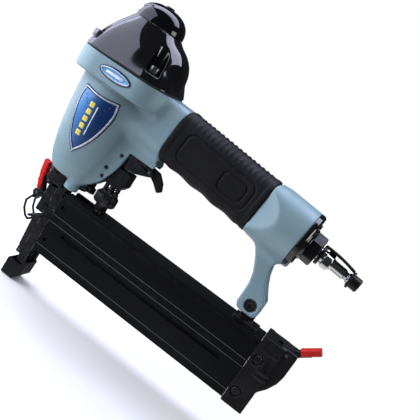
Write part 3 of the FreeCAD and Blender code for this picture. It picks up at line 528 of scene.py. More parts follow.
RECIPES = {
    casting_paint: {"casting_paint": ()},
    gloss_black: {
        "cap_paint": ((0.006, 0.006, 0.0075), 0.03, 0.6),
        "deflector_plastic": ((0.004, 0.004, 0.005), 0.015, 0.42)},
    grip_rubber: {"grip_rubber": ()},
    soft_part: {
        "seal_rubber": ((0.008, 0.008, 0.008), (0.016, 0.016, 0.016), 0.5),
        "bumper_urethane": ((0.32, 0.20, 0.05), (0.42, 0.28, 0.09), 0.4)},
    anodised_black: {"anodised_black": ()},
    black_steel: {"black_steel": ()},
    bare_metal: {
        "bright_steel": ((0.25, 0.25, 0.26), (0.38, 0.38, 0.39), 0.22, 0.38),
        "plated_steel": ((0.70, 0.71, 0.73), (0.80, 0.80, 0.81), 0.07, 0.16),
        "raw_aluminium": ((0.66, 0.67, 0.69), (0.78, 0.79, 0.80), 0.25, 0.40),
        "valve_brass": ((0.62, 0.42, 0.14), (0.72, 0.52, 0.20), 0.20, 0.35)},
    moulded_plastic: {
        "black_plastic": ((0.0055, 0.0055, 0.0065), (0.0105, 0.0105, 0.012), 0.32, 0.46,
                          (0.045, 0.045, 0.048)),
        "red_plastic": ((0.52, 0.012, 0.012), (0.66, 0.022, 0.018), 0.22, 0.36, (0.75, 0.10, 0.08))},
    badge_blue: {"badge_blue": ()},
    foil: {
        "badge_navy": ((0.004, 0.012, 0.06), 0.0),
        "badge_silver": ((0.62, 0.70, 0.76), 0.6),
        "badge_pale": ((0.14, 0.35, 0.64), 0.1),
        "badge_white": ((0.74, 0.80, 0.84), 0.0),
        "badge_yellow": ((0.80, 0.66, 0.10), 0.0)},
}
finishes = {name: make(name, *values) for make, table in RECIPES.items() for name, values in table.items()}


# ---- Casting ----

def barrel_field(x, y, z):
    heights = [height for _, height in BARREL]
    radii = [radius for radius, _ in BARREL]
    wall = np.hypot(x, y) - np.interp(z, heights, radii).astype(np.float32)
    return keep_inside(wall, np.maximum(FOOT - z, z - SEAM), 4)


def collar_field(x, y, z):
    outline = rectangle_field(x, y, (COLLAR_FRONT, -COLLAR_HALF), (COLLAR_REAR, COLLAR_HALF), COLLAR_CORNER)
    return slab(outline, z, COLLAR_BASE, SEAM + 6, 1.2)


def handle_field(x, y, z):
    u, n = handle_frame(x, z)
    core = slab(handle_section(y, n, CORE_HALF_WIDTH, CORE_HALF_HEIGHT, 11), u, 15, 150)
    root = handle_section(y, n, CORE_HALF_WIDTH + 2.5, CORE_HALF_HEIGHT + 2.4, 13)
    root = slab(root, u, 15, GRIP_START - 0.25, 1.0)
    return join(core, root, 1)


def end_field(x, y, z):
    """The handle's wide rear end, with a sloping flat on each side where it grows out of the grip."""
    u, n = handle_frame(x, z)
    around = np.hypot(y, n) - END_RADIUS
    drum = slab(around, u, GRIP_END + 0.3, END_FACE, 0.5)
    slope = (np.abs(y) - 15.5) * math.cos(math.radians(24)) - (u - GRIP_END) * math.sin(math.radians(24))
    shoulder = (np.abs(n) - 20.9) * math.cos(math.radians(20)) - (u - GRIP_END) * math.sin(math.radians(20))
    return keep_inside(keep_inside(drum, slope, 0.8), shoulder, 3)


def web_field(x, y, z):
    outline = [(6, 96.5), (16, 97), (21.5, 100.6), (26.3, 106.6), (29.7, 113.4), (32, 119.5), (33.4, 125),
               (35.2, 136.4), (56, 136.4), (57.2, 140.2), (55, 143.4), (54, 156), (6, 156)]
    return slab(polygon_field(x, z, outline), y, -8, 8, 1.2)


def arm_field(x, y, z):
    """The arm that carries the magazine's rear end."""
    left = [(146, 146), (148.8, 140), (150.4, 132), (154, 125.4), (157.2, 118.6), (159.1, 111.2),
            (159.4, 102), (159.3, 94.8), (161.2, 91.4), (164.6, 90.4)]
    right = [(174.2, 90.4), (176.6, 91.8), (177.3, 94.6), (177.2, 104.4), (175, 107.8), (171.4, 113.8),
             (168.2, 120.8), (166.4, 128.3), (166.2, 136), (167.2, 146)]
    return slab(polygon_field(x, z, left + right), y, -7.5, 7.5, 1.4)


def casting_hollows(x, y, z):
    u, n = handle_frame(x, z)
    bore = slab(tube_distance(x, y, (0, 0)) - BORE_RADIUS, z, 110, 200)
    seat = slab(tube_distance(x, y, (0, 0)) - 22.2, z, SEAM - 6, 200)
    foot = slab(tube_distance(x, y, (0, 0)) - 17.1, z, 100, 112)
    blade = slab(tube_distance(x, y, (0, 0)) - 3.3, z, 90, 102)
    air = slab(np.hypot(y, n) - 12.1, u, 18, 180)
    notch = box_field(x, y, z, (31.5, 0, 120), (8.5, 3.3, 18.2))
    pocket = box_field(x, y, z, (48, 0, 134), (12.4, 6.5, 5.6))
    fork = box_field(x, y, z, (169, 0, 95), (11.5, 3.1, 12.6))
    valve = slab(tube_distance(x, y, (47, 0)) - 6.15, z, 136, 166)
    result = bore
    for hollow in (seat, foot, blade, air, notch, pocket, fork, valve):
        result = join(result, hollow)
    return result


def casting_holes(x, y, z):
    """Pins through the web, the bracket bolt and the cap bolts."""
    bolt = tube_distance(x, z, ARM_BOLT)
    result = join(slab(bolt - 2.65, y, -12, 12), slab(bolt - 4.75, y, -12, -4.9))
    for place in (TRIGGER_PIVOT, *GUIDE_PINS):
        result = join(result, slab(tube_distance(x, z, place) - 1.42, y, -12, 12))
    for cx, cy in CAP_BOLTS:
        result = join(result, slab(np.hypot(x - cx, np.abs(y) - cy) - 2.7, z, 174, 200))
    return result


def casting_field(x, y, z):
    barrel = barrel_field(x, y, z)
    body = join(barrel, collar_field(x, y, z), 2.2)
    ribs = slab(np.hypot(x - 9, np.abs(y) - 8) - 5.6, z, 87.6, 121, 0.6)
    body = join(body, ribs, 2.5)
    body = join(body, web_field(x, y, z), 5)
    body = join(body, handle_field(x, y, z), 7)
    body = join(body, end_field(x, y, z), 0.6)
    body = join(body, arm_field(x, y, z), 7)
    body = carve(body, casting_hollows(x, y, z), 0.4)
    body = carve(body, casting_holes(x, y, z), 0.3)
    return keep_inside(body, z - SEAM, 0.5)


def make_casting():
    field_piece("casting", casting_field, "gun_body", 0.75, "root", "casting_paint")


# ---- Cap and exhaust deflector ----

def cap_field(x, y, z):
    """A cone that turns from the flange's outline into the round crown, with a rear lobe and bolt pockets."""
    rise = np.clip((z - CAP_SHOULDER) / (CAP_TOP - CAP_SHOULDER), 0, 1)
    flange = rectangle_field(x, y, (COLLAR_FRONT, -COLLAR_HALF), (COLLAR_REAR, COLLAR_HALF), COLLAR_CORNER)
    crown = np.hypot(x - CROWN_X, y) - CROWN_RADIUS
    shell = slab(flange + (crown - flange) * rise - 2.2 * np.sin(np.pi * rise), z, CAP_BASE, CAP_TOP, 0.5)
    lobe = np.sqrt((x - LOBE_X) ** 2 + y ** 2 + (z - LOBE_Z) ** 2) - LOBE_RADIUS
    shell = join(shell, keep_inside(lobe, CAP_BASE - z), 3.5)
    for bolt_x, bolt_y in CAP_BOLTS:
        dx, dy = x - bolt_x, np.abs(y) - bolt_y
        reach = math.hypot(0.5, 1)
        outward_x, outward_y = math.copysign(0.5, bolt_x) / reach, 1 / reach
        along = np.clip(dx * outward_x + dy * outward_y, 0, 14)
        pocket = np.hypot(dx - along * outward_x, dy - along * outward_y) - 5.2
        shell = carve(shell, slab(pocket, z, CAP_BASE + 6.1, 250, 0.8), 0.7)
        shell = carve(shell, np.hypot(dx, dy) - 2.6)
    chamber = join(slab(np.hypot(x, y) - 22.1, z, 180, 207), slab(np.hypot(x, y) - 9, z, 200, 230))
    bridge = box_field(x, y, z, (0, 0, 218.2), (10, 3, 4.2))
    shell = join(carve(shell, chamber, 0.4), bridge)
    return carve(shell, np.hypot(x - CROWN_X, y) - 1.6)


def dome(x, y, z, radius, height):
    """A blunt dome on the crown; the field is scaled so that it stays close to a distance."""
    power = 2.4                      # 2 would be an ellipsoid
    around = (np.hypot(x - CROWN_X, y) / radius) ** power
    up = (np.maximum(z - deflector_low[2], 0) / height) ** power
    return ((around + up) ** (1 / power) - 1) * height


def deflector_field(x, y, z):
    """A hollow hood with a wide exhaust mouth at the front and a screw in the top."""
    base, top = deflector_low[2], deflector_high[2]
    across = np.hypot(x - CROWN_X, y)
    hood = dome(x, y, z, CROWN_RADIUS, top - base)
    hood = carve(hood, dome(x, y, z, CROWN_RADIUS - 2.4, top - base - 2.6), 0.3)
    mouth = box_field(x, y, z, (CROWN_X - 19, 0, base + 5.4), (9, 12.5, 1.7), 1.2)
    fork = box_field(x, np.abs(y) - 9.5, z, (CROWN_X - 17, 0, base + 5.4), (9, 1.1, 4.2), 0.8)
    hood = carve(hood, join(mouth, fork, 1.5), 0.8)
    hood = join(hood, slab(across - 3, z, base, top - 1), 1)
    hood = keep_inside(hood, base - z, 0.5)
    hood = carve(hood, slab(across - 3.6, z, top - 1.8, top + 6), 0.3)
    return carve(hood, across - 1.6)


def make_cap():
    field_piece("cap_shell", cap_field, "cylinder_cap", 0.52, "root", "cap_paint")
    field_piece("deflector_shell", deflector_field, "exhaust_deflector", 0.38, "deflector",
                "deflector_plastic")


# ---- Grip ----

def grip_field(x, y, z):
    """A rubber sleeve with a panel line on each side, ridges along its top and finger waves below."""
    u, n = handle_frame(x, z)
    start, end = GRIP_START, GRIP_END
    ridges = 0.35 * np.cos(2 * np.pi * (u - start) / 4.2) * np.clip((n - 13) / 5, 0, 1)
    waves = 0.45 * np.cos(2 * np.pi * (u - start - 9) / 21) * np.clip((-12 - n) / 5, 0, 1)
    level = np.clip((u - start - 7) / 3, 0, 1) * np.clip((end - 6 - u) / 3, 0, 1)
    outline = handle_section(y, n, GRIP_HALF_WIDTH, GRIP_HALF_HEIGHT, 14)
    sleeve = slab(outline + 0.35 - (ridges + waves) * level, u, start, end, 1.1)
    lips = [slab(outline, u, start, start + 4, 0.9), slab(outline, u, end - 4, end, 0.9)]
    sleeve = join(join(sleeve, lips[0], 0.6), lips[1], 0.6)
    for low, high, turn in (((68, -11.5), (129, 10.5), 6), ((104, -7.5), (124, 6.5), 4)):
        line = np.abs(rectangle_field(u, n, low, high, turn)) - 0.55
        line = keep_inside(line, -outline - 1.0)
        sleeve = carve(sleeve, line, 0.35)
    hollow = handle_section(y, n, CORE_HALF_WIDTH + 0.05, CORE_HALF_HEIGHT + 0.05, 11)
    return carve(sleeve, hollow, 0.2)


def make_grip():
    field_piece("grip_sleeve", grip_field, "rubber_grip", 0.7, "root", "grip_rubber")


# ---- Tail housing ----

def tail_field(x, y, z):
    """The moulded rear housing: a slab with a stepped top, screw bosses, ribs and a curved rear bulge."""
    front, rear, half = tail_low[0], TAIL_PLATE_REAR, tail_high[1]
    side = np.abs(y)
    body = box_field(x, y, z, ((front + rear) / 2, 0, (tail_low[2] + TAIL_TOP) / 2),
                     ((rear - front) / 2, half, (TAIL_TOP - tail_low[2]) / 2), 0.6)
    back, top = tail_high[0] - 0.3, tail_high[2] - 0.4
    outline = [(204, top), (back - 1, top), (back, top - 1.4), (back, top - 18), (back - 1.2, top - 25),
               (back - 4.6, top - 32.6), (back - 9.8, top - 39.6), (204, top - 39.6)]
    bulge = slab(polygon_field(x, z, outline) - 0.3, y, -9.5, 9.5, 1.8)
    body = join(body, bulge, 1.2)
    step_size = (rear - front - 4.5, 2.1, 4.2)
    top_step = box_field(x, side, z, (rear, half + 1, TAIL_TOP - 3.8), step_size, 0.6)
    lower_step = box_field(x, side, z, (rear + 3, half + 1, 72.5), (8.2, 2.4, 6.2), 1.2)
    body = carve(carve(body, top_step, 0.6), lower_step, 0.9)
    boss = slab(tube_distance(x, z, TAIL_SCREW_HIGH) - 5.6, side, 6, half, 0.8)
    body = join(body, boss, 1.0)
    for place in (TAIL_SCREW_LOW, TAIL_SCREW_HIGH):
        recess = slab(tube_distance(x, z, place) - 3.9, side, half - 2, half + 5, 0.3)
        body = carve(body, recess, 0.7)
        body = carve(body, tube_distance(x, z, place) - 1.55)
    for height in (60.6, 65.0):
        rib = box_field(x, side, z, (rear - 3.5, half - 0.2, height), (5.2, 0.55, 0.65), 0.35)
        body = join(body, rib, 0.6)
    pocket = box_field(x, y, z, (192.5, 0, 78), (12.5, 3.4, 4.5))
    slot = box_field(x, y, z, (215, 0, 92), (15, 3.4, 18), 0.4)
    tongue = box_field(x, y, z, (190.75, -2.35, 47), (10.75, 1.75, 9.2))
    body = carve(carve(carve(body, pocket), slot, 0.5), tongue)
    return carve(body, tube_distance(x, z, RELEASE_PIVOT) - PIN_HOLE)


def lever_field(outline, half, rounding, holes=()):
    """A lever's field: its outline in X and Z, half width, edge radius, and holes as (centre, radius)."""
    def field(x, y, z):
        body = slab(polygon_field(x, z, outline), y, -half, half, rounding)
        for centre, radius in holes:
            body = carve(body, tube_distance(x, z, centre) - radius)
        return body

    return field


def make_tail():
    field_piece("tail_housing", tail_field, "tail_block", 0.6, "slide", "black_plastic")
    px, pz = RELEASE_PIVOT
    arm = [(px - 6, pz - 4), (px - 3.5, pz - 4), (px - 2.9, pz - 2.9), (px + 1.9, pz - 2.9),
           (px + 2.7, pz + 0.3), (px + 7.3, pz + 1.6), (px + 15, pz + 8), (px + 12.8, pz + 11),
           (px + 3.1, pz + 4.6), (px - 6, pz + 3.7)]
    tab = [(px + 8.6, pz + 3.2), (px + 20.2, pz + 12.6), (px + 17, pz + 16.8), (px + 5.5, pz + 7.6)]
    plate = lever_field(arm, 2.6, 0.4, [(RELEASE_PIVOT, PIN_HOLE)])
    field_piece("release_arm", plate, "magazine_release", 0.3, "release", "black_steel")
    field_piece("release_tab", lever_field(tab, 3.3, 1.5), "magazine_release", 0.35, "release", "red_plastic",
                replaces=False)


# ---- Latch lever ----

def make_latch():
    """A steel arm with a red sleeve pushed over its upper end."""
    px, pz = LATCH_PIVOT
    arm = [(px - 3.4, pz - 5.2), (px + 0.4, pz - 6), (px + 2.9, pz - 1), (px + 2.9, pz + 3),
           (px - 0.6, pz + 10), (px - 3.6, pz + 17), (px - 6, pz + 17), (px - 6, pz + 9), (px - 3, pz + 3)]
    sleeve = [(px + 1.0, pz + 2.6), (px - 2.0, pz + 12), (px - 4.0, pz + 24.4), (px - 9, pz + 25.2),
              (px - 7.7, pz + 16), (px - 5.4, pz + 9), (px - 3.4, pz + 2.6)]
    plate = lever_field(arm, 2.8, 0.5, [(LATCH_PIVOT, PIN_HOLE), ((px - 1.5, pz - 4.8), 0.95)])
    field_piece("latch_arm", plate, "latch_lever", 0.3, "latch_lever", "black_steel")
    field_piece("latch_sleeve", lever_field(sleeve, 3.35, 1.1), "latch_lever", 0.35, "latch_lever",
                "red_plastic", replaces=False)


# ---- Badges ----

def smooth_line(points):
    """A Catmull-Rom curve through the points of an open line, with eight steps between each two."""
    points = [np.array(point, float) for point in points]
    padded = [2 * points[0] - points[1]] + points + [2 * points[-1] - points[-2]]
    line = []
    for a, b, c, e in zip(padded, padded[1:], padded[2:], padded[3:]):
        for t in np.arange(8) / 8:
            line.append(0.5 * (2 * b + (c - a) * t + (2 * a - 5 * b + 4 * c - e) * t ** 2
                               + (3 * b - a - 3 * c + e) * t ** 3))
    return line + [points[-1]]


def inset(loop, distance):
    """The closed loop moved inwards; it runs clockwise in X and Z."""
    before, after = np.roll(loop, 1, axis=0), np.roll(loop, -1, axis=0)
    along = after - before
    along = along / np.linalg.norm(along, axis=1)[:, None]
    return loop + distance * np.stack([along[:, 1], -along[:, 0]], 1)


def plaque(name, outline, bands, rest, shrink, surface, replaces=()):
    """Concentric bands laid on a surface: bands are (inset, lift, finish) from the edge inwards, rest is the
    middle's finish and shrink the sizes of its inner loops."""
    outline = np.array(outline)
    loops, lifts, kinds = [outline], [-0.1], []
    for distance, lift, kind in bands:
        loops += [inset(outline, distance)]
        lifts += [lift]
        kinds += [kind]
    middle = loops[-1].mean(axis=0)
    for share in shrink:
        loops.append(middle + (loops[len(bands)] - middle) * share)
        lifts.append(lifts[len(bands)])
        kinds.append(rest)
    corners = []
    for loop, lift in zip(loops, lifts):
        corners += [surface(x, z, lift) for x, z in loop]
    corners.append(surface(*middle, lifts[-1]))
    count = len(outline)
    faces, indices = [], []
    names = sorted(set(kinds), key=kinds.index)
    for ring, kind in enumerate(kinds):
        for k in range(count):
            a, b = ring * count + k, ring * count + (k + 1) % count
            faces.append((a, a + count, b + count, b))
            indices.append(names.index(kind))
    last = len(loops) - 1
    for k in range(count):
        faces.append((last * count + k, len(corners) - 1, last * count + (k + 1) % count))
        indices.append(names.index(rest))
    item = piece(name, corners, faces, "root", "badge_blue", replaces)
    item.data.materials.clear()
    for kind in names:
        item.data.materials.append(finishes[kind])
    item.data.polygons.foreach_set("material_index", indices)
    return item


def on_barrel(x, z, lift):
    """A point on the casting's left side, above the painted surface by lift."""
    radius = float(np.interp(z, [height for _, height in BARREL], [size for size, _ in BARREL])) + lift
    return (x, -math.sqrt(radius ** 2 - x ** 2), z)


def on_collar(x, z, lift):
    return (x, -COLLAR_HALF - lift, z)


def ring_points(centre, radii):
    angles = [-2 * math.pi * k / 72 for k in range(72)]
    return [(centre[0] + radii[0] * math.cos(a), centre[1] + radii[1] * math.sin(a)) for a in angles]


def bar_points(low, high, corner):
    """A rectangle with rounded corners; the loop runs clockwise."""
    points = []
    for sx, sz, start in ((1, 1, 90), (1, -1, 0), (-1, -1, -90), (-1, 1, 180)):
        cx = (high[0] if sx > 0 else low[0]) - sx * corner
        cz = (high[1] if sz > 0 else low[1]) - sz * corner
        for k in range(5):
            angle = math.radians(start - 22.5 * k)
            points.append((cx + corner * math.cos(angle), cz + corner * math.sin(angle)))
    return points


def dense(loop, step=1.2):
    """The closed loop with long edges divided, so that it can follow a curved surface."""
    result = []
    for a, b in zip(loop, loop[1:] + loop[:1]):
        count = max(1, math.ceil(math.dist(a, b) / step))
        result += [tuple(np.array(a) + (np.array(b) - np.array(a)) * k / count) for k in range(count)]
    return result


def make_badges():
    low, high = node_box("oval_badge")
    middle = (low + high) / 2
    radii = (high - low) / 2
    centre = (middle[0], middle[2])
    plaque("oval_plaque", ring_points(centre, (radii[0], radii[2])),
           [(0.35, 0.55, "badge_navy"), (1.15, 0.7, "badge_navy"), (1.3, 0.95, "badge_silver"),
            (1.75, 0.95, "badge_silver"), (1.9, 0.75, "badge_pale")],
           "badge_pale", (0.75, 0.5, 0.25), on_collar, ["oval_badge"])
    band = bar_points((centre[0] - 7.5, centre[1] - 1.1), (centre[0] + 7.5, centre[1] + 1.1), 1.0)
    plaque("oval_band", dense(band), [(0.2, 0.95, "badge_white")], "badge_white", (0.5,), on_collar)
    low, high = node_box("shield_badge")
    top, foot, left, right = high[2], low[2], low[0], high[0]
    width, height, axis = right - left, top - foot, (right + left) / 2 - 0.4
    side = [(0.47, 1.0), (0.50, 0.75), (0.385, 0.42), (0.205, 0.175), (0.0, 0.0)]
    right_side = [(axis + width * u, foot + height * v) for u, v in side]
    left_side = [(axis - width * u, foot + height * v) for u, v in reversed(side)]
    crest = smooth_line([(axis - width * 0.47, top), (axis, top - 1.6), (axis + width * 0.47, top)])
    loop = [tuple(point) for point in smooth_line(right_side)[:-1] + smooth_line(left_side)[:-1] + crest[:-1]]
    plaque("shield_plaque", dense(loop),
           [(0.15, 0.35, "badge_navy"), (0.75, 0.5, "badge_navy"), (0.85, 0.75, "badge_silver"),
            (1.75, 0.75, "badge_silver"), (1.85, 0.55, "badge_navy"), (2.5, 0.55, "badge_navy")],
           "badge_blue", (0.9, 0.75, 0.6, 0.45, 0.3, 0.15), on_barrel, ["shield_badge"])
    for number in range(5):
        bar_low = (axis - 3.9, foot + 13.5 + 5.6 * number)
        bar = bar_points(bar_low, (axis + 0.3, bar_low[1] + 4.2), 0.6)
        plaque("shield_bar_{}".format(number), dense(bar), [(0.2, 0.75, "badge_yellow")], "badge_yellow",
               (0.5,), on_barrel)
    line = bar_points((axis + 2.2, foot + 16), (axis + 3.3, foot + 39), 0.5)
    plaque("shield_line", dense(line), [(0.2, 0.75, "badge_white")], "badge_white", (0.5,), on_barrel)


# ---- Springs ----

def coil(name, node, axis, wire, turns):
    """A wire helix in place of a CAD spring."""
    low, high = node_box(node)
    along, across = (0, 1) if axis == "x" else (2, 0)
    radius = (high[across] - low[across]) / 2 - wire
    height = high[along] - low[along] - 2 * wire
    steps, sides = int(turns * 20), 8
    angle = np.linspace(0, 2 * np.pi * turns, steps + 1)
    rise = height * np.linspace(0, 1, steps + 1)
    spine = np.stack([radius * np.cos(angle), radius * np.sin(angle), rise], 1)
    outward = np.stack([np.cos(angle), np.sin(angle), 0 * angle], 1)
    turn = (2 * np.pi * np.arange(sides) / sides)[:, None]
    rim = outward[:, None] * np.cos(turn) + np.array([0, 0, 1]) * np.sin(turn)
    corners = (spine[:, None] + wire * rim).reshape(-1, 3)
    if axis == "x":
        corners = corners[:, [2, 1, 0]] * (1, 1, -1)
    foot = (low + high) / 2
    foot[along] = low[along] + wire
    faces = []
    for step in range(steps):
        for k in range(sides):
            a, b = step * sides + k, step * sides + (k + 1) % sides
            faces.append((a, b, b + sides, a + sides))
    faces.append(tuple(range(sides))[::-1])
    faces.append(tuple(steps * sides + k for k in range(sides)))
    item = piece(name, corners + foot, faces, "root", "bright_steel", [node])
    direction, anchor = [0, 0, 0], foot.copy()
    direction[along] = 1
    anchor[along] = high[along]
    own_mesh(item)


def make_springs():
    coil("contact_coil", "contact_spring", "z", 0.45, 5)
    coil("valve_coil", "trigger_valve_spring", "z", 0.35, 5)
    coil("head_valve_coil", "head_valve_spring", "z", 0.75, 3)
    coil("pusher_coil", "pusher_spring", "x", 0.3, 36)


# ---- Air line end ----

def end_cap_field(x, y, z):
    """A shallow dished disc with a rolled rim; its four screws sit in round sinks."""
    u, n = handle_frame(x, z)
    around = np.hypot(y, n)
    seat = END_FACE
    disc = [(6.65, seat + 0.05), (22.4, seat + 0.05), (22.4, seat + 3.0), (21.2, seat + 4.2),
            (19.8, seat + 4.2), (18.6, seat + 3.3), (13.2, seat + 4.6), (12.0, seat + 6.6),
            (6.65, seat + 6.6)]
    shell = polygon_field(around, u, disc) - 0.12
    for k in range(4):
        angle = math.radians(45 + 90 * k)
        spot = np.hypot(y - 17.4 * math.cos(angle), n - 17.4 * math.sin(angle))
        shell = carve(shell, slab(spot - 3.1, u, seat + 3.4, seat + 20), 0.4)
        shell = carve(shell, spot - 1.6)
    return shell


def hexagon(y, n, inner):
    """Distance to the flats of a hexagon that is 2 x inner across them."""
    flats = [np.abs(y * math.cos(a) + n * math.sin(a)) - inner for a in (0, math.pi / 3, 2 * math.pi / 3)]
    return np.maximum(np.maximum(flats[0], flats[1]), flats[2])


def adaptor_field(x, y, z):
    u, n = handle_frame(x, z)
    seat = END_FACE + 6.85
    around = np.hypot(y, n)
    nut = slab(hexagon(y, n, 10.5), u, seat, seat + 8.1, 0.3)
    nut = keep_inside(nut, around - 11.9 + np.maximum(u - seat - 7.2, 0) * 1.2, 0.3)
    ring = np.hypot(around - 10.7, u - seat - 8.1) - 0.35
    nut = carve(nut, ring, 0.2)
    thread = slab(around - 6.6, u, 168, seat + 0.2)
    return carve(join(nut, thread), around - 4.15)


def plug_field(x, y, z):
    """A hexagonal collar and a turned barrel with a ball groove."""
    u, n = handle_frame(x, z)
    around = np.hypot(y, n)
    seat = END_FACE + 15.05
    profile = [(2, 176), (4.0, 176), (4.0, seat), (5.2, seat), (5.2, 192.8), (4.4, 193.2), (4.4, 198.9),
               (3.8, 200), (3.8, 209.5), (2.9, 210.5), (2.9, 212.4), (3.8, 213.3), (3.8, 217.2), (3.1, 218.1),
               (2, 218.1)]
    stem = polygon_field(around, u, profile) - 0.14
    collar = slab(hexagon(y, n, 6.0), u, 192.4, 198.2, 0.2)
    collar = keep_inside(collar, around - 6.7 + np.maximum(np.abs(u - 195.3) - 2.2, 0) * 0.9, 0.25)
    return carve(join(stem, collar, 0.3), around - 2)


def make_air_end():
    for name, field, step, slot, node in (
            ("end_disc", end_cap_field, 0.45, "cap_paint", "end_cap"),
            ("hex_adaptor", adaptor_field, 0.4, "black_steel", "inlet_adaptor"),
            ("plug", plug_field, 0.28, "plated_steel", "air_plug")):
        item = field_piece(name, field, node, step, "root", slot)
        if slot == "black_steel":    # the adaptor is dull, unlike the steel of the nose
            dress(item, "black_plastic")


# ---- Strap of the dust cap ----

def strap_field(x, y, z):
    """A ring round the air plug and a thin band that arches over to the dust cap."""
    u, n = handle_frame(x, z)
    around = np.hypot(y, n)
    ring = slab(np.abs(around - 6.5) - 0.9, u, 188, 190.6, 0.4)
    share = np.clip((u - 189) / 25, 0, 1)
    arch = np.sin(np.pi * share)
    crest = 7.4 + 0.6 * arch - 1.5 * share ** 2
    width = 2.6 - 0.5 * arch
    across, up = np.abs(y + 1.2 * arch) - width + 0.4, np.abs(n - crest) - 0.85 + 0.4
    band = np.hypot(np.maximum(across, 0), np.maximum(up, 0)) + np.minimum(np.maximum(across, up), 0) - 0.4
    band = keep_inside(band, np.maximum(188.4 - u, u - 214.4), 0.4)
    return join(ring, band, 0.5)


def make_strap():
    item = field_piece("cap_strap", strap_field, "dust_cap_strap", 0.3, None, "black_plastic", grow=(1, 3))
    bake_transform(item)


# ---- CAD nodes that stay ----

SLIDING_EDGE = 0.08                  # the guide's bevel, small so that it leaves the yoke's path free


def dress_cad_nodes():
    """Every CAD node that isn't replaced gets its finish and a bevel that suits its size."""
    slots = {part["node"]: part["material_slot"] for part in frame["record"]["subparts"]}
    for name, item in nodes.items():
        dress(item, slots[name])
        if item.hide_render:
            continue
        low, high = node_box(name)
        width = SLIDING_EDGE if name == "safety_guide" else min(0.35, 0.06 * float(min(high - low)))
        round_edges(item, width)


# ---- Stage, light and camera ----

def light(name, place, target, size, energy, colour, mirrored):
    """A rectangular area light; one that isn't mirrored leaves no image in gloss."""
    lamp = bpy.data.lights.new(name, "AREA")
    lamp.shape = "RECTANGLE"
    lamp.size, lamp.size_y = size
    lamp.energy = energy
    lamp.color = colour
    item = bpy.data.objects.new(name, lamp)
    item.location = place
    item.rotation_euler = (Vector(target) - Vector(place)).to_track_quat("-Z", "Y").to_euler()
    item.visible_glossy = mirrored
    item.visible_camera = False
    bpy.context.scene.collection.objects.link(item)


def make_stage():
    """A pale disc that fades into the backdrop."""
    bm = bmesh.new()
    bmesh.ops.create_circle(bm, cap_ends=True, segments=96, radius=1.6)
    mesh = bpy.data.meshes.new("floor")
    bm.to_mesh(mesh)
    bm.free()
    floor = bpy.data.objects.new("floor", mesh)
    floor.location = (0.08, 0, -0.0005)
    bpy.context.scene.collection.objects.link(floor)
    tree = Tree("floor")
    away = tree.node("VectorMath", {"operation": "LENGTH"}, i0=tree.place()).outputs["Value"]
    fade = tree.remap(away, 0.11, 0.34)
    pale = tree.node("BsdfDiffuse", None, Color=(0.93, 0.93, 0.93)).outputs[0]
    clear = tree.node("BsdfTransparent").outputs[0]
    shader = tree.node("MixShader", None, i0=fade, i1=pale, i2=clear)
    tree.links.new(shader.outputs[0], tree.output.inputs[0])
    mesh.materials.append(tree.material)
    floor.visible_glossy = False


def make_world():
    """White behind the object, an even light for matt surfaces, and dark in reflections so that black gloss
    stays black."""
    world = bpy.data.worlds.new("studio")
    bpy.context.scene.world = world
    world.use_nodes = True
    tree = world.node_tree
    tree.nodes.clear()
    rays = tree.nodes.new("ShaderNodeLightPath")
    output = tree.nodes.new("ShaderNodeOutputWorld")

    def background(colour, strength):
        item = tree.nodes.new("ShaderNodeBackground")
        item.inputs[0].default_value = (*colour, 1)
        item.inputs[1].default_value = strength
        return item.outputs[0]

    def choose(factor, first, second):
        item = tree.nodes.new("ShaderNodeMixShader")
        tree.links.new(factor, item.inputs[0])
        tree.links.new(first, item.inputs[1])
        tree.links.new(second, item.inputs[2])
        return item.outputs[0]

    coordinates = tree.nodes.new("ShaderNodeTexCoord")
    height = tree.nodes.new("ShaderNodeSeparateXYZ")
    tree.links.new(coordinates.outputs["Generated"], height.inputs[0])
    below = tree.nodes.new("ShaderNodeMapRange")
    tree.links.new(height.outputs[2], below.inputs["Value"])
    for name, value in (("From Min", -0.35), ("From Max", -0.75)):
        below.inputs[name].default_value = value
    mirrored = choose(below.outputs[0], background((0.9, 0.93, 1), 0.03), background((1, 1, 1), 0.75))
    lit = choose(rays.outputs["Is Glossy Ray"], background((0.97, 0.98, 1), 0.22), mirrored)
    shown = choose(rays.outputs["Is Camera Ray"], lit, background((1, 1, 1), 1.0))
    tree.links.new(shown, output.inputs[0])


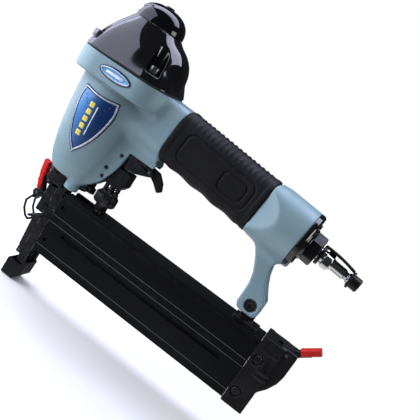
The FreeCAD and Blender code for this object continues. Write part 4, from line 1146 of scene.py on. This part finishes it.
def make_lights():
    """A wide softbox at the front left, one overhead and a small one over the tail make the highlights; the
    washes only brighten."""
    target = Vector((0.08, 0, 0.13))
    lilac, white = (0.76, 0.79, 1.0), (1, 1, 1)
    for name, direction, distance, size, radiance, colour, mirrored in (
            ("key", (-0.86, -0.42, 0.33), 0.9, (1.3, 1.1), 2.3, lilac, True),
            ("key_wing", (-0.91, 0.36, 0.20), 0.9, (0.55, 1.0), 2.0, lilac, True),
            ("top", (0.0, 0.27, 0.95), 0.95, (1.7, 0.5), 4.5, lilac, True),
            ("kicker", (0.98, 0.04, 0.20), 0.9, (0.40, 0.32), 4.0, white, True),
            ("left_wash", (-0.92, -0.36, 0.40), 0.5, (0.4, 0.4), 3.3, white, False),
            ("fill", (0.55, -0.80, 0.05), 1.2, (0.5, 0.5), 0.5, white, False),
            ("back", (0.1, 0.95, 0.4), 1.0, (0.8, 0.6), 1.2, white, False)):
        energy = radiance * size[0] * size[1] * math.pi
        place = target + Vector(direction).normalized() * distance
        light(name, place, target, size, energy, colour, mirrored)


CAMERA_TARGET = (0.1041, 0.0107, 0.1331)
CAMERA_DISTANCE = 0.4525
CAMERA_AZIMUTH, CAMERA_ELEVATION, CAMERA_ROLL = 11.06, 11.16, 33.35


def make_camera():
    """Looks from the tool's left side, a little from the rear and above, rolled as it is held."""
    camera = bpy.data.cameras.new("camera")
    camera.sensor_width = 36
    camera.lens = 52.46
    item = bpy.data.objects.new("camera", camera)
    bpy.context.scene.collection.objects.link(item)
    azimuth, elevation = math.radians(CAMERA_AZIMUTH), math.radians(CAMERA_ELEVATION)
    back = Vector((math.sin(azimuth) * math.cos(elevation), -math.cos(azimuth) * math.cos(elevation),
                   math.sin(elevation)))
    item.location = Vector(CAMERA_TARGET) + back * CAMERA_DISTANCE
    turn = (-back).to_track_quat("-Z", "Y").to_matrix() @ Matrix.Rotation(math.radians(CAMERA_ROLL), 3, "Z")
    item.rotation_euler = turn.to_euler()
    bpy.context.scene.camera = item


make_casting()
make_cap()
make_grip()
make_tail()
make_latch()
make_badges()
make_springs()
make_air_end()
make_strap()
dress_cad_nodes()
make_stage()
make_world()
make_lights()
make_camera()
bpy.context.scene.view_settings.view_transform = "Standard"
